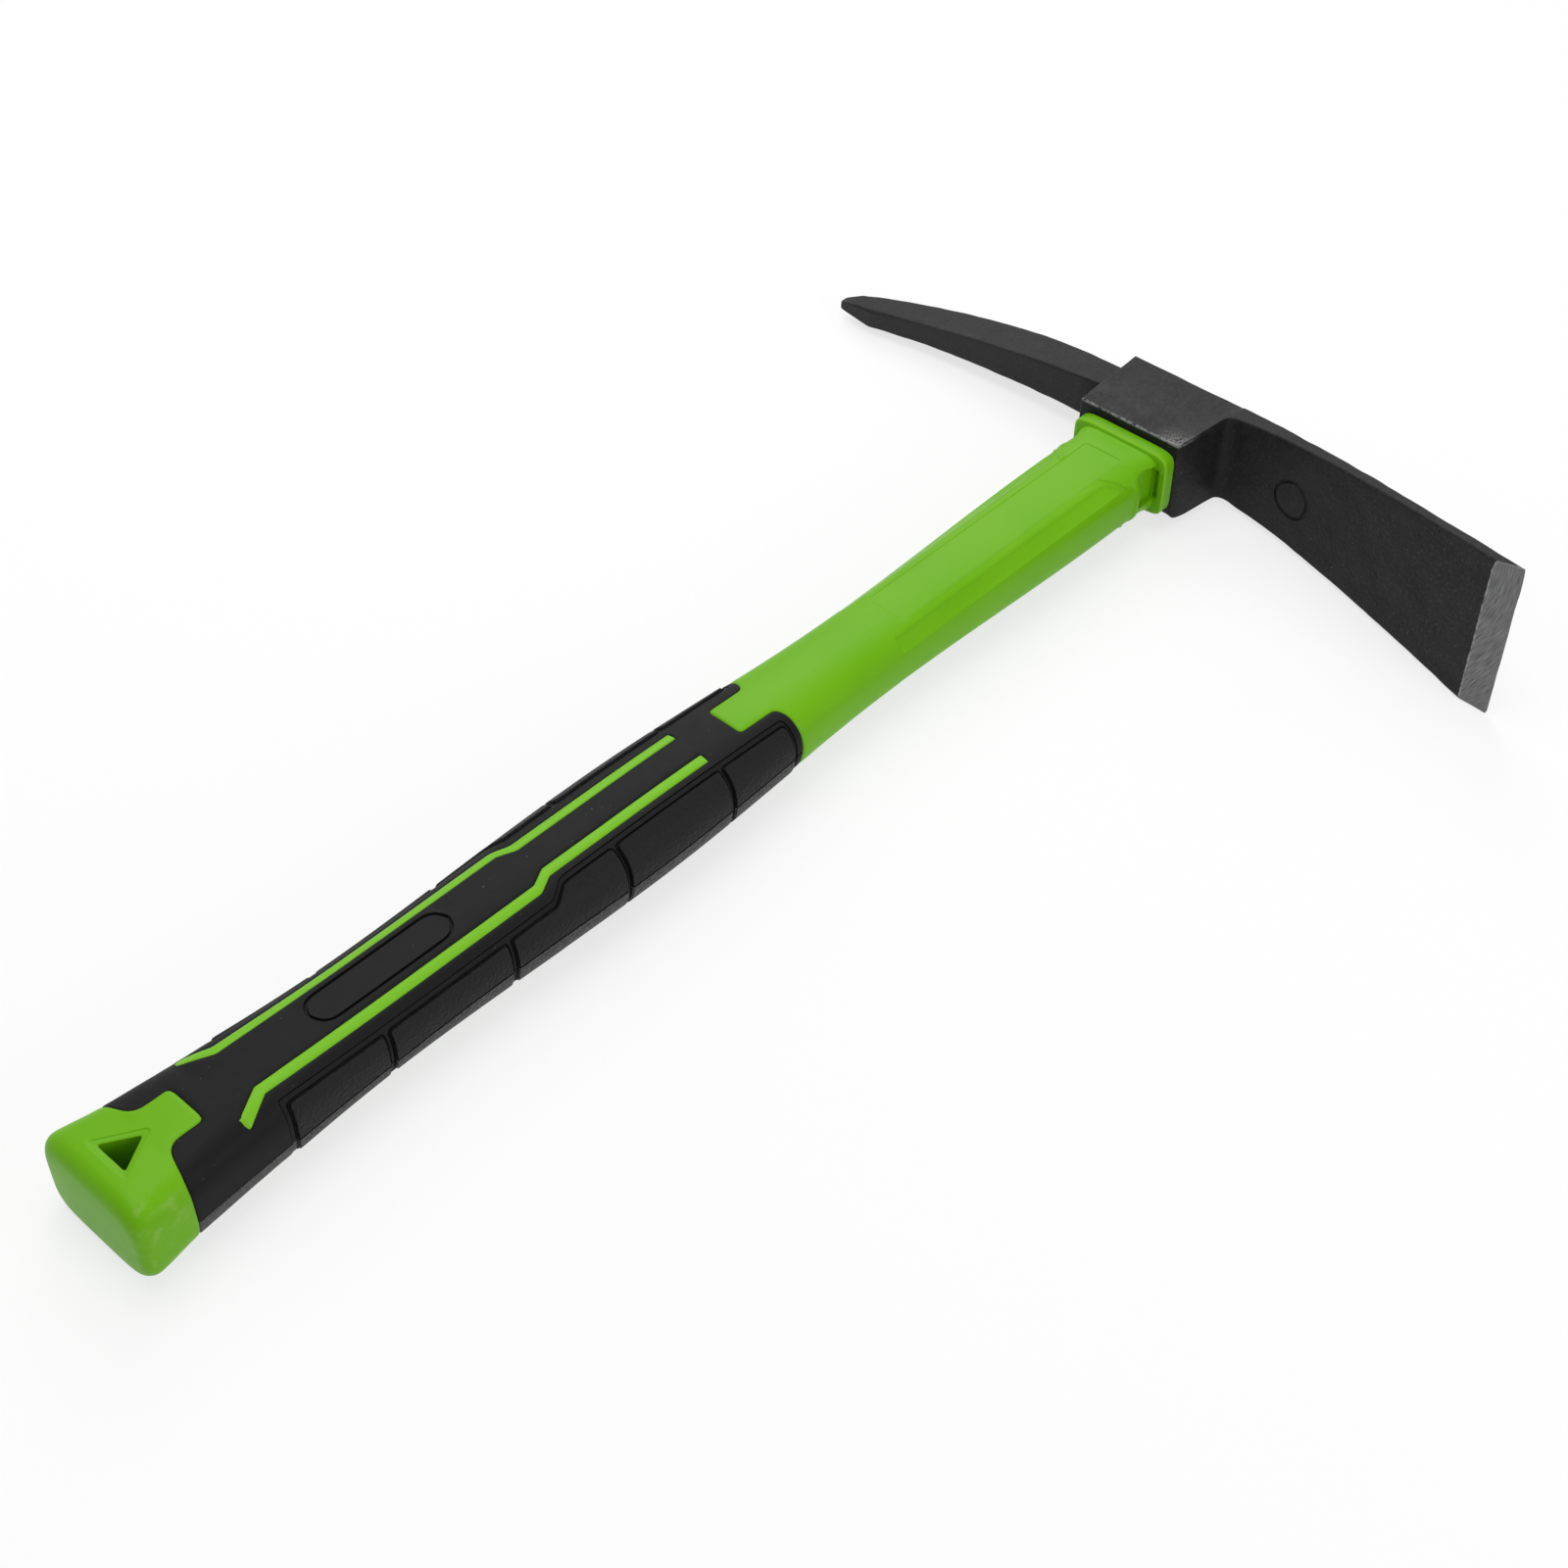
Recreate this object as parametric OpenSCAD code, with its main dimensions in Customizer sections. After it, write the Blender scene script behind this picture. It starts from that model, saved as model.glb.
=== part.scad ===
// Hand mattock: forged adze and pick head bonded to a two-colour moulded handle.
// The handle runs along +X from butt to crown, the pick points to +Y and the adze blade to -Y.

/* [Overall] */
// Length from the butt end to the top of the pick's arch
overall_l = 403; // [383:1:433]

/* [Eye] */
// Height of the eye block along the handle
eye_h = 29.4; // [26:0.2:34]
// Thickness of the eye block across the tool
eye_t = 26.4; // [24:0.2:32]
// Width of the eye block where the handle meets it
eye_w = 35.6; // [33:0.2:40]
// Width of the eye block at the crown
crown_w = 41.2; // [38:0.2:46]
// Width of the hole through the eye
eye_hole_w = 25; // [22:0.5:27]
// Thickness of the hole through the eye
eye_hole_t = 17; // [15.5:0.5:18]
// Corner radius of the hole through the eye
eye_hole_r = 5; // [2:0.5:7]

/* [Adze blade] */
// Reach of the cutting edge from the handle axis
blade_reach = 126.4; // [110:0.2:150]
// Width of the cutting edge
blade_w = 52.2; // [44:0.2:64]
// Fall of the cutting edge below the crown
blade_drop = 25.2; // [18:0.2:34]
// Thickness of the blade where it leaves the eye
blade_root_t = 8; // [6.5:0.1:9.5]
// Thickness of the blade halfway along
blade_mid_t = 5.2; // [4.4:0.1:6.4]
// Thickness of the blade behind the ground edge
blade_edge_t = 3.8; // [3:0.1:4.6]
// Length of the ground edge
bevel_l = 8.2; // [5:0.1:12]
// Radius of the fillet between the eye and the inner face of the blade
blade_fillet = 7; // [3:0.2:9]

/* [Pick] */
// Reach of the point from the handle axis
pick_reach = 118.6; // [105:0.2:140]
// Length of the ground point
point_l = 11; // [7:0.2:16]
// Rise of the pick's arch above the crown
arch_rise = 0.9; // [0.2:0.1:2]
// Fall of the ground point's outer shoulder below the top of the arch
pick_drop = 16.3; // [12:0.1:22]
// Depth of the pick along the handle where it leaves the eye
pick_root_h = 10.8; // [9:0.2:13]
// Depth of the pick along the handle halfway along
pick_mid_h = 13.4; // [11.4:0.2:15]
// Depth of the pick along the handle at the ground point's shoulder
pick_shoulder_h = 9.1; // [7:0.1:10.5]
// Thickness of the pick across the tool where it leaves the eye
pick_root_t = 13; // [10:0.2:16]
// Thickness of the pick across the tool at the ground point's shoulder
pick_shoulder_t = 6.4; // [5:0.1:8]
// Width of the blunt tip
tip_w = 2.6; // [1.5:0.1:4]

/* [Handle] */
// Width of the flared butt
butt_w = 38.8; // [34:0.2:44]
// Thickness of the flared butt
butt_t = 25.4; // [24:0.2:30]
// Radius of the rounded edge of the butt
butt_round = 5; // [3:0.2:7]
// Distance of the waist from the butt end
waist_x = 82; // [67:1:97]
// Width at the waist
waist_w = 28.6; // [26:0.2:32]
// Distance of the belly from the butt end
belly_x = 160; // [142:1:172]
// Width at the belly
belly_w = 32.4; // [29:0.2:36]
// Thickness over the grip
grip_t = 24.2; // [22:0.2:27]
// Distance of the slim throat from the butt end
throat_x = 254; // [237:1:272]
// Width at the throat
throat_w = 25.6; // [23:0.2:28]
// Thickness from the throat to the neck
shaft_t = 20; // [19:0.2:23]
// Width of the shaft where the neck starts
shaft_end_w = 29.8; // [27:0.2:32]
// Length of the neck between shaft and collar
neck_l = 5.6; // [4:0.2:10]
// Depth of the neck below the shaft all round
neck_step = 1.4; // [0.6:0.1:1.8]
// Width of the collar that seats on the eye
collar_w = 33; // [30:0.2:34]
// Thickness of the collar across the tool
collar_t = 21; // [19:0.2:23]
// Length of the collar along the handle
collar_l = 4; // [2:0.1:5]
// Corner radius of the neck and collar
collar_r = 3; // [2:0.2:6]

/* [Hang hole] */
// Distance of the hole's base from the butt end
hole_x = 8.1; // [7:0.1:9]
// Length of the triangle along the handle
hole_l = 8.2; // [7.5:0.1:9.5]
// Width of the triangle's base
hole_w = 10; // [9:0.1:12]

/* [Grip] */
// Thickness of the soft overmould
grip_wall = 2.6; // [1.8:0.1:3]
// Distance of the overmould's lower end from the butt end
grip_start = 16.5; // [15:0.1:18]
// Distance of the overmould's upper end from the butt end
grip_end = 214; // [202:1:224]
// Width of the butt's tab into the overmould
tab_w = 11.8; // [9:0.2:14]
// Length of the butt's tab
tab_l = 11.5; // [8:0.1:13]
// Width of the shaft's tongue into the overmould
tongue_w = 11.2; // [9:0.2:14]
// Length of the shaft's tongue
tongue_l = 15; // [10:0.5:20]
// Size of the cut corners at the root of tab and tongue
root_cut = 3; // [1.5:0.1:4]
// Width of each inlaid stripe
stripe_w = 2.7; // [2:0.1:3.4]
// Distance of the stripe's bend near the butt from the butt end
stripe_start = 41.4; // [38:0.2:46]
// Distance of the stripe's jog from the butt end
stripe_jog = 126; // [112:1:137]
// Distance of the stripe's upper end from the butt end
stripe_end = 185; // [172:1:194]
// Distance of the stripe's inner edge from the middle, butt side of the jog
stripe_wide = 7.2; // [6.6:0.1:8]
// Distance of the stripe's inner edge from the middle, head side of the jog
stripe_narrow = 4.4; // [3.5:0.1:5.5]
// Length of the stripe's splayed foot along the handle
foot_l = 7.4; // [4:0.1:8]
// Sideways spread of the stripe's foot
foot_spread = 4.2; // [2:0.1:4.5]

/* [Core] */
// Diameter of the fibreglass rod
rod_d = 13; // [10:0.5:13.5]
// Distance of the rod's lower end from the butt end
rod_start = 33; // [29:1:60]
// Depth of the rod's upper end below the crown
rod_sink = 0.6; // [0.2:0.1:3]
// Depth of the resin's surface below the crown
resin_sink = 0.6; // [0.2:0.1:3]

/* [Hidden] */

// Smoothness of round shapes
$fn = 64;
// Sides of a handle section, rings along it, and rings round the butt's edge
section_sides = 32;
handle_rings = 46;
core_rings = 26;
edge_rings = 5;
// Points along each curved edge of the head
curve_points = 14;
// How far cuts run past the surface
overrun = 1;
// How square the handle's section is: 2 is an ellipse
butt_squareness = 3.2;
grip_squareness = 2.6;
shaft_squareness = 3.2;
// How quickly the butt's flare dies out
flare_power = 2.2;

// Where the blade's curve bends, as shares of its reach past the eye and of its drop
blade_bend_share = 0.26;
blade_bend_drop_share = 0.13;
// Where the pick's curve bends, as a share of its reach past the eye
pick_bend_share = 0.46;
// Fall of the ground point's middle line, as a share of the point's length
point_fall_share = 0.36;
// Where blade and pick start inside the eye, as a share of its width
root_share = 0.26;
// Slope of the stripe's jog: its length as a share of the sideways step
jog_share = 1.6;

crown_x = overall_l - arch_rise;
eye_x = crown_x - eye_h;
collar_x = eye_x - collar_l;
shaft_end = collar_x - neck_l;
core_start = grip_start - grip_wall;
core_end = grip_end + grip_wall;
half_reach = max(butt_w, belly_w, collar_w) / 2 + overrun;
handle_depth = max(butt_t, grip_t) + 2 * overrun;
tab_end = grip_start + tab_l;
tongue_end = grip_end - tongue_l;

// Places the tool lying on its side, centred over the origin
module lying() {
    translate([-overall_l / 2, (blade_reach - pick_reach) / 2, blade_w / 2])
        children();
}

function ease(u) = (1 - cos(180 * u)) / 2;
function between(x, x0, x1, v0, v1) = v0 + (v1 - v0) * ease(min(max((x - x0) / (x1 - x0), 0), 1));
function signed_power(v, p) = sign(v) * pow(abs(v), p);
function curve(p0, p1, p2) = [
    for (i = [0 : curve_points])
        let (t = i / curve_points)
        (1 - t) * (1 - t) * p0 + 2 * t * (1 - t) * p1 + t * t * p2
];
// Control value that makes a curve pass through mid when it is halfway
function through_middle(start, mid, end) = 2 * mid - (start + end) / 2;
function flipped(points) = [for (i = [len(points) - 1 : -1 : 0]) [points[i].x, -points[i].y]];
function both_sides(points) = concat(points, flipped(points));

// Half width and half thickness of the handle at a distance x from the butt end
function half_w(x) =
    x < waist_x ? waist_w / 2 + (butt_w - waist_w) / 2 * pow(1 - x / waist_x, flare_power)
    : x < belly_x ? between(x, waist_x, belly_x, waist_w / 2, belly_w / 2)
    : x < throat_x ? between(x, belly_x, throat_x, belly_w / 2, throat_w / 2)
    : between(x, throat_x, shaft_end, throat_w / 2, shaft_end_w / 2);
function half_t(x) =
    x < belly_x ? between(x, 0, waist_x, butt_t / 2, grip_t / 2)
    : between(x, belly_x, throat_x, grip_t / 2, shaft_t / 2);
function squareness(x) =
    x < belly_x ? between(x, 0, waist_x, butt_squareness, grip_squareness)
    : between(x, belly_x, shaft_end, grip_squareness, shaft_squareness);
function ring(x, inset) = [
    for (i = [0 : section_sides - 1])
        let (a = 360 * i / section_sides, p = 2 / squareness(x))
        [x, (half_w(x) - inset) * signed_power(cos(a), p), (half_t(x) - inset) * signed_power(sin(a), p)]
];
// Rings round the butt's edge, then along the handle
function handle_ring_list() = concat(
    [for (i = [0 : edge_rings - 1])
        let (a = 90 * (1 - i / edge_rings))
        ring(butt_round * (1 - sin(a)), butt_round * (1 - cos(a)))],
    [for (i = [0 : handle_rings])
        ring(butt_round + (shaft_end - butt_round) * i / handle_rings, 0)]
);
function core_ring_list() = [
    for (i = [0 : core_rings])
        ring(core_start + (core_end - core_start) * i / core_rings, grip_wall)
];

// Solid through a list of rings that all have the same number of points
module loft(rings) {
    n = section_sides;
    last = len(rings) - 1;
    sides = [
        for (k = [0 : last - 1], i = [0 : n - 1], half = [0, 1])
            let (a = k * n + i, b = k * n + (i + 1) % n)
            half == 0 ? [a, a + n, b + n] : [a, b + n, b]
    ];
    start = [for (i = [0 : n - 1]) i];
    end = [for (i = [n - 1 : -1 : 0]) last * n + i];
    polyhedron(points = [for (r = rings) each r], faces = concat(sides, [start, end]));
}

// Rounded rectangle across the handle, w along Y and t along Z
module round_rect(w, t, r) {
    square([w - 2 * r, t], center = true);
    square([w, t - 2 * r], center = true);
    for (sy = [-1, 1], sz = [-1, 1])
        translate([sy * (w / 2 - r), sz * (t / 2 - r)])
            circle(r);
}

// Solid of length l along X from x, with a section drawn across the handle
module along_x(x, l) {
    translate([x, 0, 0])
        rotate([90, 0, 90])
            linear_extrude(l)
                children();
}

// Solid of thickness t across the tool, drawn in plan
module across(t) {
    linear_extrude(t, center = true)
        children();
}

module eye_block() {
    across(eye_t)
        polygon(both_sides([[eye_x, eye_w / 2], [crown_x, crown_w / 2]]));
}

module adze_blade() {
    edge = [crown_x - blade_drop, -blade_reach];
    bend_y = -crown_w / 2 - blade_bend_share * (blade_reach - crown_w / 2);
    root_y = -root_share * crown_w;
    outer_root = [crown_x, root_y];
    outer_bend = [crown_x - blade_bend_drop_share * blade_drop, bend_y];
    edge_slope = (outer_bend.x - edge.x) / (bend_y - edge.y);
    inner_root = [crown_x - blade_root_t, -crown_w / 2 - blade_fillet];
    inner_edge = [edge.x + bevel_l * edge_slope - blade_edge_t, edge.y + bevel_l];
    bend_t = through_middle(blade_root_t, blade_mid_t, blade_edge_t);
    inner_bend = [outer_bend.x - bend_t, bend_y];
    fillet_start = [inner_root.x - blade_fillet, -eye_w / 2];
    fillet_corner = [inner_root.x, -eye_w / 2];
    intersection() {
        across(blade_w)
            polygon(concat(
                [[fillet_start.x, root_y]],
                curve(fillet_start, fillet_corner, inner_root),
                curve(inner_root, inner_bend, inner_edge),
                curve(edge, outer_bend, outer_root)));
        along_x(eye_x - blade_drop, eye_h + 2 * blade_drop)
            polygon(both_sides([[root_y, eye_t / 2], [-blade_reach, blade_w / 2]]));
    }
}

module pick() {
    shoulder_y = pick_reach - point_l;
    bend_y = crown_w / 2 + pick_bend_share * (shoulder_y - crown_w / 2);
    root_y = root_share * crown_w;
    outer_root = [crown_x, crown_w / 2];
    outer_shoulder = [overall_l - pick_drop, shoulder_y];
    // Aims past the crown so that the arch just reaches the tool's full length
    outer_bend = [overall_l + sqrt(arch_rise * pick_drop), bend_y];
    inner_root = [crown_x - pick_root_h, root_y];
    inner_shoulder = [outer_shoulder.x - pick_shoulder_h, shoulder_y];
    bend_h = through_middle(pick_root_h, pick_mid_h, pick_shoulder_h);
    inner_bend = [outer_bend.x - bend_h, bend_y];
    tip_x = outer_shoulder.x - pick_shoulder_h / 2 - point_fall_share * point_l;
    intersection() {
        across(eye_t)
            polygon(concat(
                [[crown_x, root_y]],
                curve(outer_root, outer_bend, outer_shoulder),
                [[tip_x + tip_w / 2, pick_reach], [tip_x - tip_w / 2, pick_reach]],
                curve(inner_shoulder, inner_bend, inner_root)));
        along_x(eye_x - blade_drop, eye_h + 2 * blade_drop)
            polygon(both_sides([[root_y, pick_root_t / 2],
                                [shoulder_y, pick_shoulder_t / 2],
                                [pick_reach, tip_w / 2]]));
    }
}

// One forging: eye block, adze blade and pick, with the hole for the handle
module head() {
    color("#2c2c2d")
        difference() {
            union() {
                eye_block();
                adze_blade();
                pick();
            }
            along_x(eye_x - overrun, eye_h + 2 * overrun)
                round_rect(eye_hole_w, eye_hole_t, eye_hole_r);
        }
}

// Fibreglass rod that carries the load from the grip into the eye
module core_rod() {
    color("#d8d2b0")
        rod(rod_start, crown_x - rod_sink);
}

module rod(start, end) {
    translate([start, 0, 0])
        rotate([0, 90, 0])
            cylinder(h = end - start, d = rod_d);
}

// Resin that bonds the rod into the eye
module eye_resin() {
    color("#6b5a35")
        difference() {
            along_x(eye_x, eye_h - resin_sink)
                round_rect(eye_hole_w, eye_hole_t, eye_hole_r);
            rod(eye_x - overrun, crown_x + overrun);
        }
}

// Plan of the butt, with its tab into the overmould
module butt_plan() {
    polygon(both_sides([
        [-overrun, half_reach],
        [grip_start, half_reach],
        [grip_start, tab_w / 2 + root_cut],
        [grip_start + root_cut, tab_w / 2],
        [tab_end, tab_w / 2]]));
}

// Plan of the shaft, with its tongue into the overmould
module shaft_plan() {
    polygon(both_sides([
        [tongue_end, tongue_w / 2],
        [grip_end - root_cut, tongue_w / 2],
        [grip_end, tongue_w / 2 + root_cut],
        [grip_end, half_reach],
        [crown_x, half_reach]]));
}

// Plan of the two stripes that show through the overmould
module stripe_plan() {
    jog_l = jog_share * (stripe_wide - stripe_narrow);
    inner = [
        [stripe_start - foot_l, stripe_wide + foot_spread],
        [stripe_start, stripe_wide],
        [stripe_jog, stripe_wide],
        [stripe_jog + jog_l, stripe_narrow],
        [stripe_end, stripe_narrow]];
    outer = [for (i = [len(inner) - 1 : -1 : 0]) [inner[i].x, inner[i].y + stripe_w]];
    for (side = [0, 1])
        mirror([0, side, 0])
            polygon(concat(inner, outer));
}

module handle_body() {
    loft(handle_ring_list());
}

// Part of the sleeve that the overmould covers
module sleeve_core() {
    loft(core_ring_list());
}

// Hard sleeve moulded round the rod: butt, stripes, shaft, neck and collar
module handle_sleeve() {
    neck_w = shaft_end_w - 2 * neck_step;
    neck_t = shaft_t - 2 * neck_step;
    color("#6fb327")
        difference() {
            union() {
                intersection() {
                    handle_body();
                    across(handle_depth) {
                        butt_plan();
                        shaft_plan();
                        stripe_plan();
                    }
                }
                sleeve_core();
                along_x(shaft_end - neck_l, 2 * neck_l + collar_l / 2)
                    round_rect(neck_w, neck_t, collar_r);
                along_x(collar_x, collar_l)
                    round_rect(collar_w, collar_t, collar_r);
            }
            rod(rod_start, crown_x);
            across(handle_depth)
                polygon(both_sides([[hole_x, hole_w / 2], [hole_x + hole_l, 0]]));
        }
}

// Soft overmould with windows for the tab, the tongue and the stripes
module grip() {
    color("#26262a")
        difference() {
            intersection() {
                handle_body();
                across(handle_depth)
                    difference() {
                        translate([grip_start, -half_reach])
                            square([grip_end - grip_start, 2 * half_reach]);
                        butt_plan();
                        shaft_plan();
                        stripe_plan();
                    }
            }
            sleeve_core();
        }
}

lying() head();
lying() core_rod();
lying() eye_resin();
lying() handle_sleeve();
lying() grip();
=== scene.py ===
"""Looks of a hand mattock: a black forged head on a green and black handle, lying on a white table."""

import math

import bmesh
import bpy
import numpy as np
from mathutils import Matrix, Vector
from mathutils.bvhtree import BVHTree


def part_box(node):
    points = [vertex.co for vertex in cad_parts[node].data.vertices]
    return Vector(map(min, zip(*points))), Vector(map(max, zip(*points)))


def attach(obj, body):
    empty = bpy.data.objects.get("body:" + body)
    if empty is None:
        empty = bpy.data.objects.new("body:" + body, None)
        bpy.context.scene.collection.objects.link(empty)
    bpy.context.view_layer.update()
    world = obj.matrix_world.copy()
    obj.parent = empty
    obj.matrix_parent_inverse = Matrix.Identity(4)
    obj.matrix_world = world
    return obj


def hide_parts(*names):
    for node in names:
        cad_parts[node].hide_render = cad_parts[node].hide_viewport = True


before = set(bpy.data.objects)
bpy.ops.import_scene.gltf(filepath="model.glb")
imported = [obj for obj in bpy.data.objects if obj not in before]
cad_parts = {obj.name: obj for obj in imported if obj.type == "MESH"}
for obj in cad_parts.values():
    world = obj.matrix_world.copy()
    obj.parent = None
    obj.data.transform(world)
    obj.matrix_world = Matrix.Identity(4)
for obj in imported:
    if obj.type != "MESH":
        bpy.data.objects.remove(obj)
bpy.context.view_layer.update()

# Sizes are in millimetres. x runs from the butt end to the crown, y from the handle's middle to the pick
# and z from the tool's mid-plane upwards.
MM = 0.001
MERGE = 0.001 * MM
OVERRUN = 1
sleeve_lo, sleeve_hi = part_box("handle_sleeve")
rod_lo, rod_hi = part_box("core_rod")
head_lo, head_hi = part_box("head")
ORIGIN = Vector((sleeve_lo.x, (rod_lo.y + rod_hi.y) / 2, (rod_lo.z + rod_hi.z) / 2)) / MM


def at(x, y, z):
    """Place of a point of the tool in the shared frame, in metres."""
    return (ORIGIN + Vector((x, y, z))) * MM


# Modelling

def start_piece(name):
    """Names the primitive that was just added, at the origin and with nothing else selected."""
    piece = bpy.context.object
    piece.name = name
    piece.data.name = name
    return piece


def deselect_all():
    bpy.ops.object.select_all(action="DESELECT")


def make_active(piece):
    deselect_all()
    piece.select_set(True)
    bpy.context.view_layer.objects.active = piece


def edit(piece):
    """Opens a piece for editing with nothing selected, and returns its mesh."""
    make_active(piece)
    bpy.ops.object.mode_set(mode="EDIT")
    bpy.ops.mesh.select_mode(type="FACE")
    bpy.ops.mesh.select_all(action="DESELECT")
    return bmesh.from_edit_mesh(piece.data)


def close_edit():
    bpy.ops.object.mode_set(mode="OBJECT")


def finish_with(piece, kind, **settings):
    """Adds a modifier to a piece and applies it."""
    make_active(piece)
    bpy.ops.object.modifier_add(type=kind)
    modifier = piece.modifiers[-1]
    for name, value in settings.items():
        setattr(modifier, name, value)
    bpy.ops.object.modifier_apply(modifier=modifier.name)


def subdivide(piece, levels):
    finish_with(piece, "SUBSURF", levels=levels, render_levels=levels)


def cut(piece, cutter):
    """Takes the cutter's shape out of a piece and deletes the cutter."""
    finish_with(piece, "BOOLEAN", operation="DIFFERENCE", solver="EXACT", object=cutter)
    bpy.data.objects.remove(cutter)


def rolled_grid(name, rows, around, point, label=None):
    """A grid primitive rolled into a tube with filled ends.

    point(row, step) places its corners and label(row, step) marks its faces.
    """
    deselect_all()
    bpy.ops.mesh.primitive_grid_add(x_subdivisions=around, y_subdivisions=rows - 1, size=1)
    piece = start_piece(name)
    mesh = piece.data
    if label:
        zone = mesh.attributes.new("zone", "INT", "FACE")
        for face in mesh.polygons:
            step = int((face.center.x + 0.5) * around)
            row = int((face.center.y + 0.5) * (rows - 1))
            zone.data[face.index].value = label(row, step)
    for corner in mesh.vertices:
        step = round((corner.co.x + 0.5) * around) % around
        row = round((corner.co.y + 0.5) * (rows - 1))
        corner.co = point(row, step)
    edit(piece)
    bpy.ops.mesh.select_all(action="SELECT")
    bpy.ops.mesh.remove_doubles(threshold=MERGE)
    bpy.ops.mesh.select_mode(type="EDGE")
    bpy.ops.mesh.select_all(action="DESELECT")
    bpy.ops.mesh.select_non_manifold()
    bpy.ops.mesh.edge_face_add()
    bpy.ops.mesh.select_all(action="SELECT")
    bpy.ops.mesh.normals_make_consistent(inside=False)
    close_edit()
    return piece


def spread(marks, step):
    """The marks with even stops between them, no further apart than step."""
    stops = []
    for start, end in zip(marks, marks[1:]):
        count = max(1, math.ceil((end - start) / step))
        stops += [start + (end - start) * k / count for k in range(count)]
    return stops + [marks[-1]]


ARC_STEPS = 5


def quarter_angles():
    return [math.pi / 2 * k / ARC_STEPS for k in range(ARC_STEPS + 1)]


def quarter_turn(x0, s0, x1, s1):
    """Points of a quarter ellipse that leaves (x0, s0) along x and reaches (x1, s1) along s."""
    return [(x0 + (x1 - x0) * math.sin(a), s0 + (s1 - s0) * (1 - math.cos(a)))
            for a in quarter_angles()]


def ease(u):
    """Rises smoothly from 0 to 1 as u does."""
    return (1 - math.cos(math.pi * min(max(u, 0), 1))) / 2


def between(x, x0, x1, v0, v1):
    """Goes smoothly from v0 at x0 to v1 at x1."""
    return v0 + (v1 - v0) * ease((x - x0) / (x1 - x0))


# Handle: how wide, thick and square it is along its length

BUTT_W = (sleeve_hi.y - sleeve_lo.y) / MM
BUTT_T = (sleeve_hi.z - sleeve_lo.z) / MM
BUTT_ROUND, BUTT_SIDE_SHARE, BUTT_LOW_SHARE = 4.6, 0.8, 0.55
BUTT_DOME, BUTT_STEPS = 0.3, 6
BUTT_FACE_SHARES = (0.12, 0.45, 0.75)
WAIST_X, WAIST_W = 82, 28.6
BELLY_X, BELLY_W = 160, 32.4
GRIP_T = 24.2
THROAT_X, THROAT_W = 254, 25.6
SHAFT_T = 20
SHAFT_END, SHAFT_END_W = 358.6, 29.8
EYE_X = (sleeve_hi.x - sleeve_lo.x) / MM
COLLAR_L, COLLAR_W, COLLAR_T, COLLAR_EDGE = 4.5, 34, 21.4, 0.45
COLLAR_X = EYE_X - COLLAR_L
COLLAR_FACE_INSETS = (3, 6, 8.5)
RIB_X, RIB_RISE, NECK_STEP = 355.2, 0.45, 0.8
POCKET_X, POCKET_GAP, POCKET_HALF_W = 359.5, 0.2, 12.5
POCKET_Z, POCKET_H, POCKET_R = 1.6, 12, 1.5
SLOT_Y, SLOT_W, SLOT_LEAD, SLOT_DEPTH = 14.2, 1.7, 1, 1.3
SLOT_Z, SLOT_H, SLOT_R = 0.8, 10.4, 0.4
NECK_END, GROOVE_START, GROOVE_END = COLLAR_X - 3.4, COLLAR_X - 2, COLLAR_X - 0.3
NECK_GROOVE, NECK_GROOVE_SIDE = 0.3, 0.2
EDGE = 0.6
CLOSEST, SUPPORT, TAB_SUPPORT, ROW_STEP = 0.75, 0.9, 2, 2.6
FLARE_POWER = 2.2
BUTT_END_SQUARE, BUTT_SQUARE, GRIP_SQUARE, SHAFT_SQUARE, COLLAR_SQUARE = 5, 3.9, 2.6, 3.2, 9
NECK_SQUARE = SHAFT_SQUARE + 1


def half_w(x):
    """Half the handle's width."""
    if x < WAIST_X:
        return WAIST_W / 2 + (BUTT_W - WAIST_W) / 2 * (1 - x / WAIST_X) ** FLARE_POWER
    if x < BELLY_X:
        return between(x, WAIST_X, BELLY_X, WAIST_W / 2, BELLY_W / 2)
    if x < THROAT_X:
        return between(x, BELLY_X, THROAT_X, BELLY_W / 2, THROAT_W / 2)
    rib = RIB_RISE if x > RIB_X + EDGE / 2 else 0
    return between(x, THROAT_X, SHAFT_END, THROAT_W / 2, SHAFT_END_W / 2) + rib


def half_t(x):
    """Half the handle's thickness."""
    if x < BELLY_X:
        return between(x, 0, WAIST_X, BUTT_T / 2, GRIP_T / 2)
    return between(x, BELLY_X, THROAT_X, GRIP_T / 2, SHAFT_T / 2)


def squareness(x):
    """Power of the cross section's curve: 2 is an ellipse, more is squarer."""
    if x < BELLY_X:
        end = between(x, 0, BUTT_BORDER, BUTT_END_SQUARE - BUTT_SQUARE, 0)
        return between(x, 0, WAIST_X, BUTT_SQUARE, GRIP_SQUARE) + end
    return between(x, BELLY_X, SHAFT_END, GRIP_SQUARE, SHAFT_SQUARE)


# Handle: places along x of what shows on it

BUTT_BORDER, TAB_END = 16.6, 28.2
FOOT_END, FOOT_BEND, FOOT_SHIFT = 33.6, 41.3, 0.9
FOOT_NEAR, FOOT_FAR = 4.6, 8.2
JOG_START, JOG_END = 126, 130.8
STRIPE_END = 186
PLAQUE_START, PLAQUE_END, PLAQUE_R = 62.2, 105, 5.1
PAD_GROOVES = [(43.0, 44.6), (73.0, 74.3), (111.0, 112.2),
               (148.4, 149.3), (STRIPE_END, 186.9), (210.3, 211.2)]
TONGUE_END, SHAFT_BORDER = 199.1, 213.5
TAPER_X = 230
CHAMFER_START, CHAMFER_END = 255.8, 345
CHEVRON_START, CHEVRON_END = 347.6, 350.4
PANEL_START, PANEL_END = 262.5, 360.2

# Handle: lanes along it, as distances from the top's middle over the surface

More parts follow.
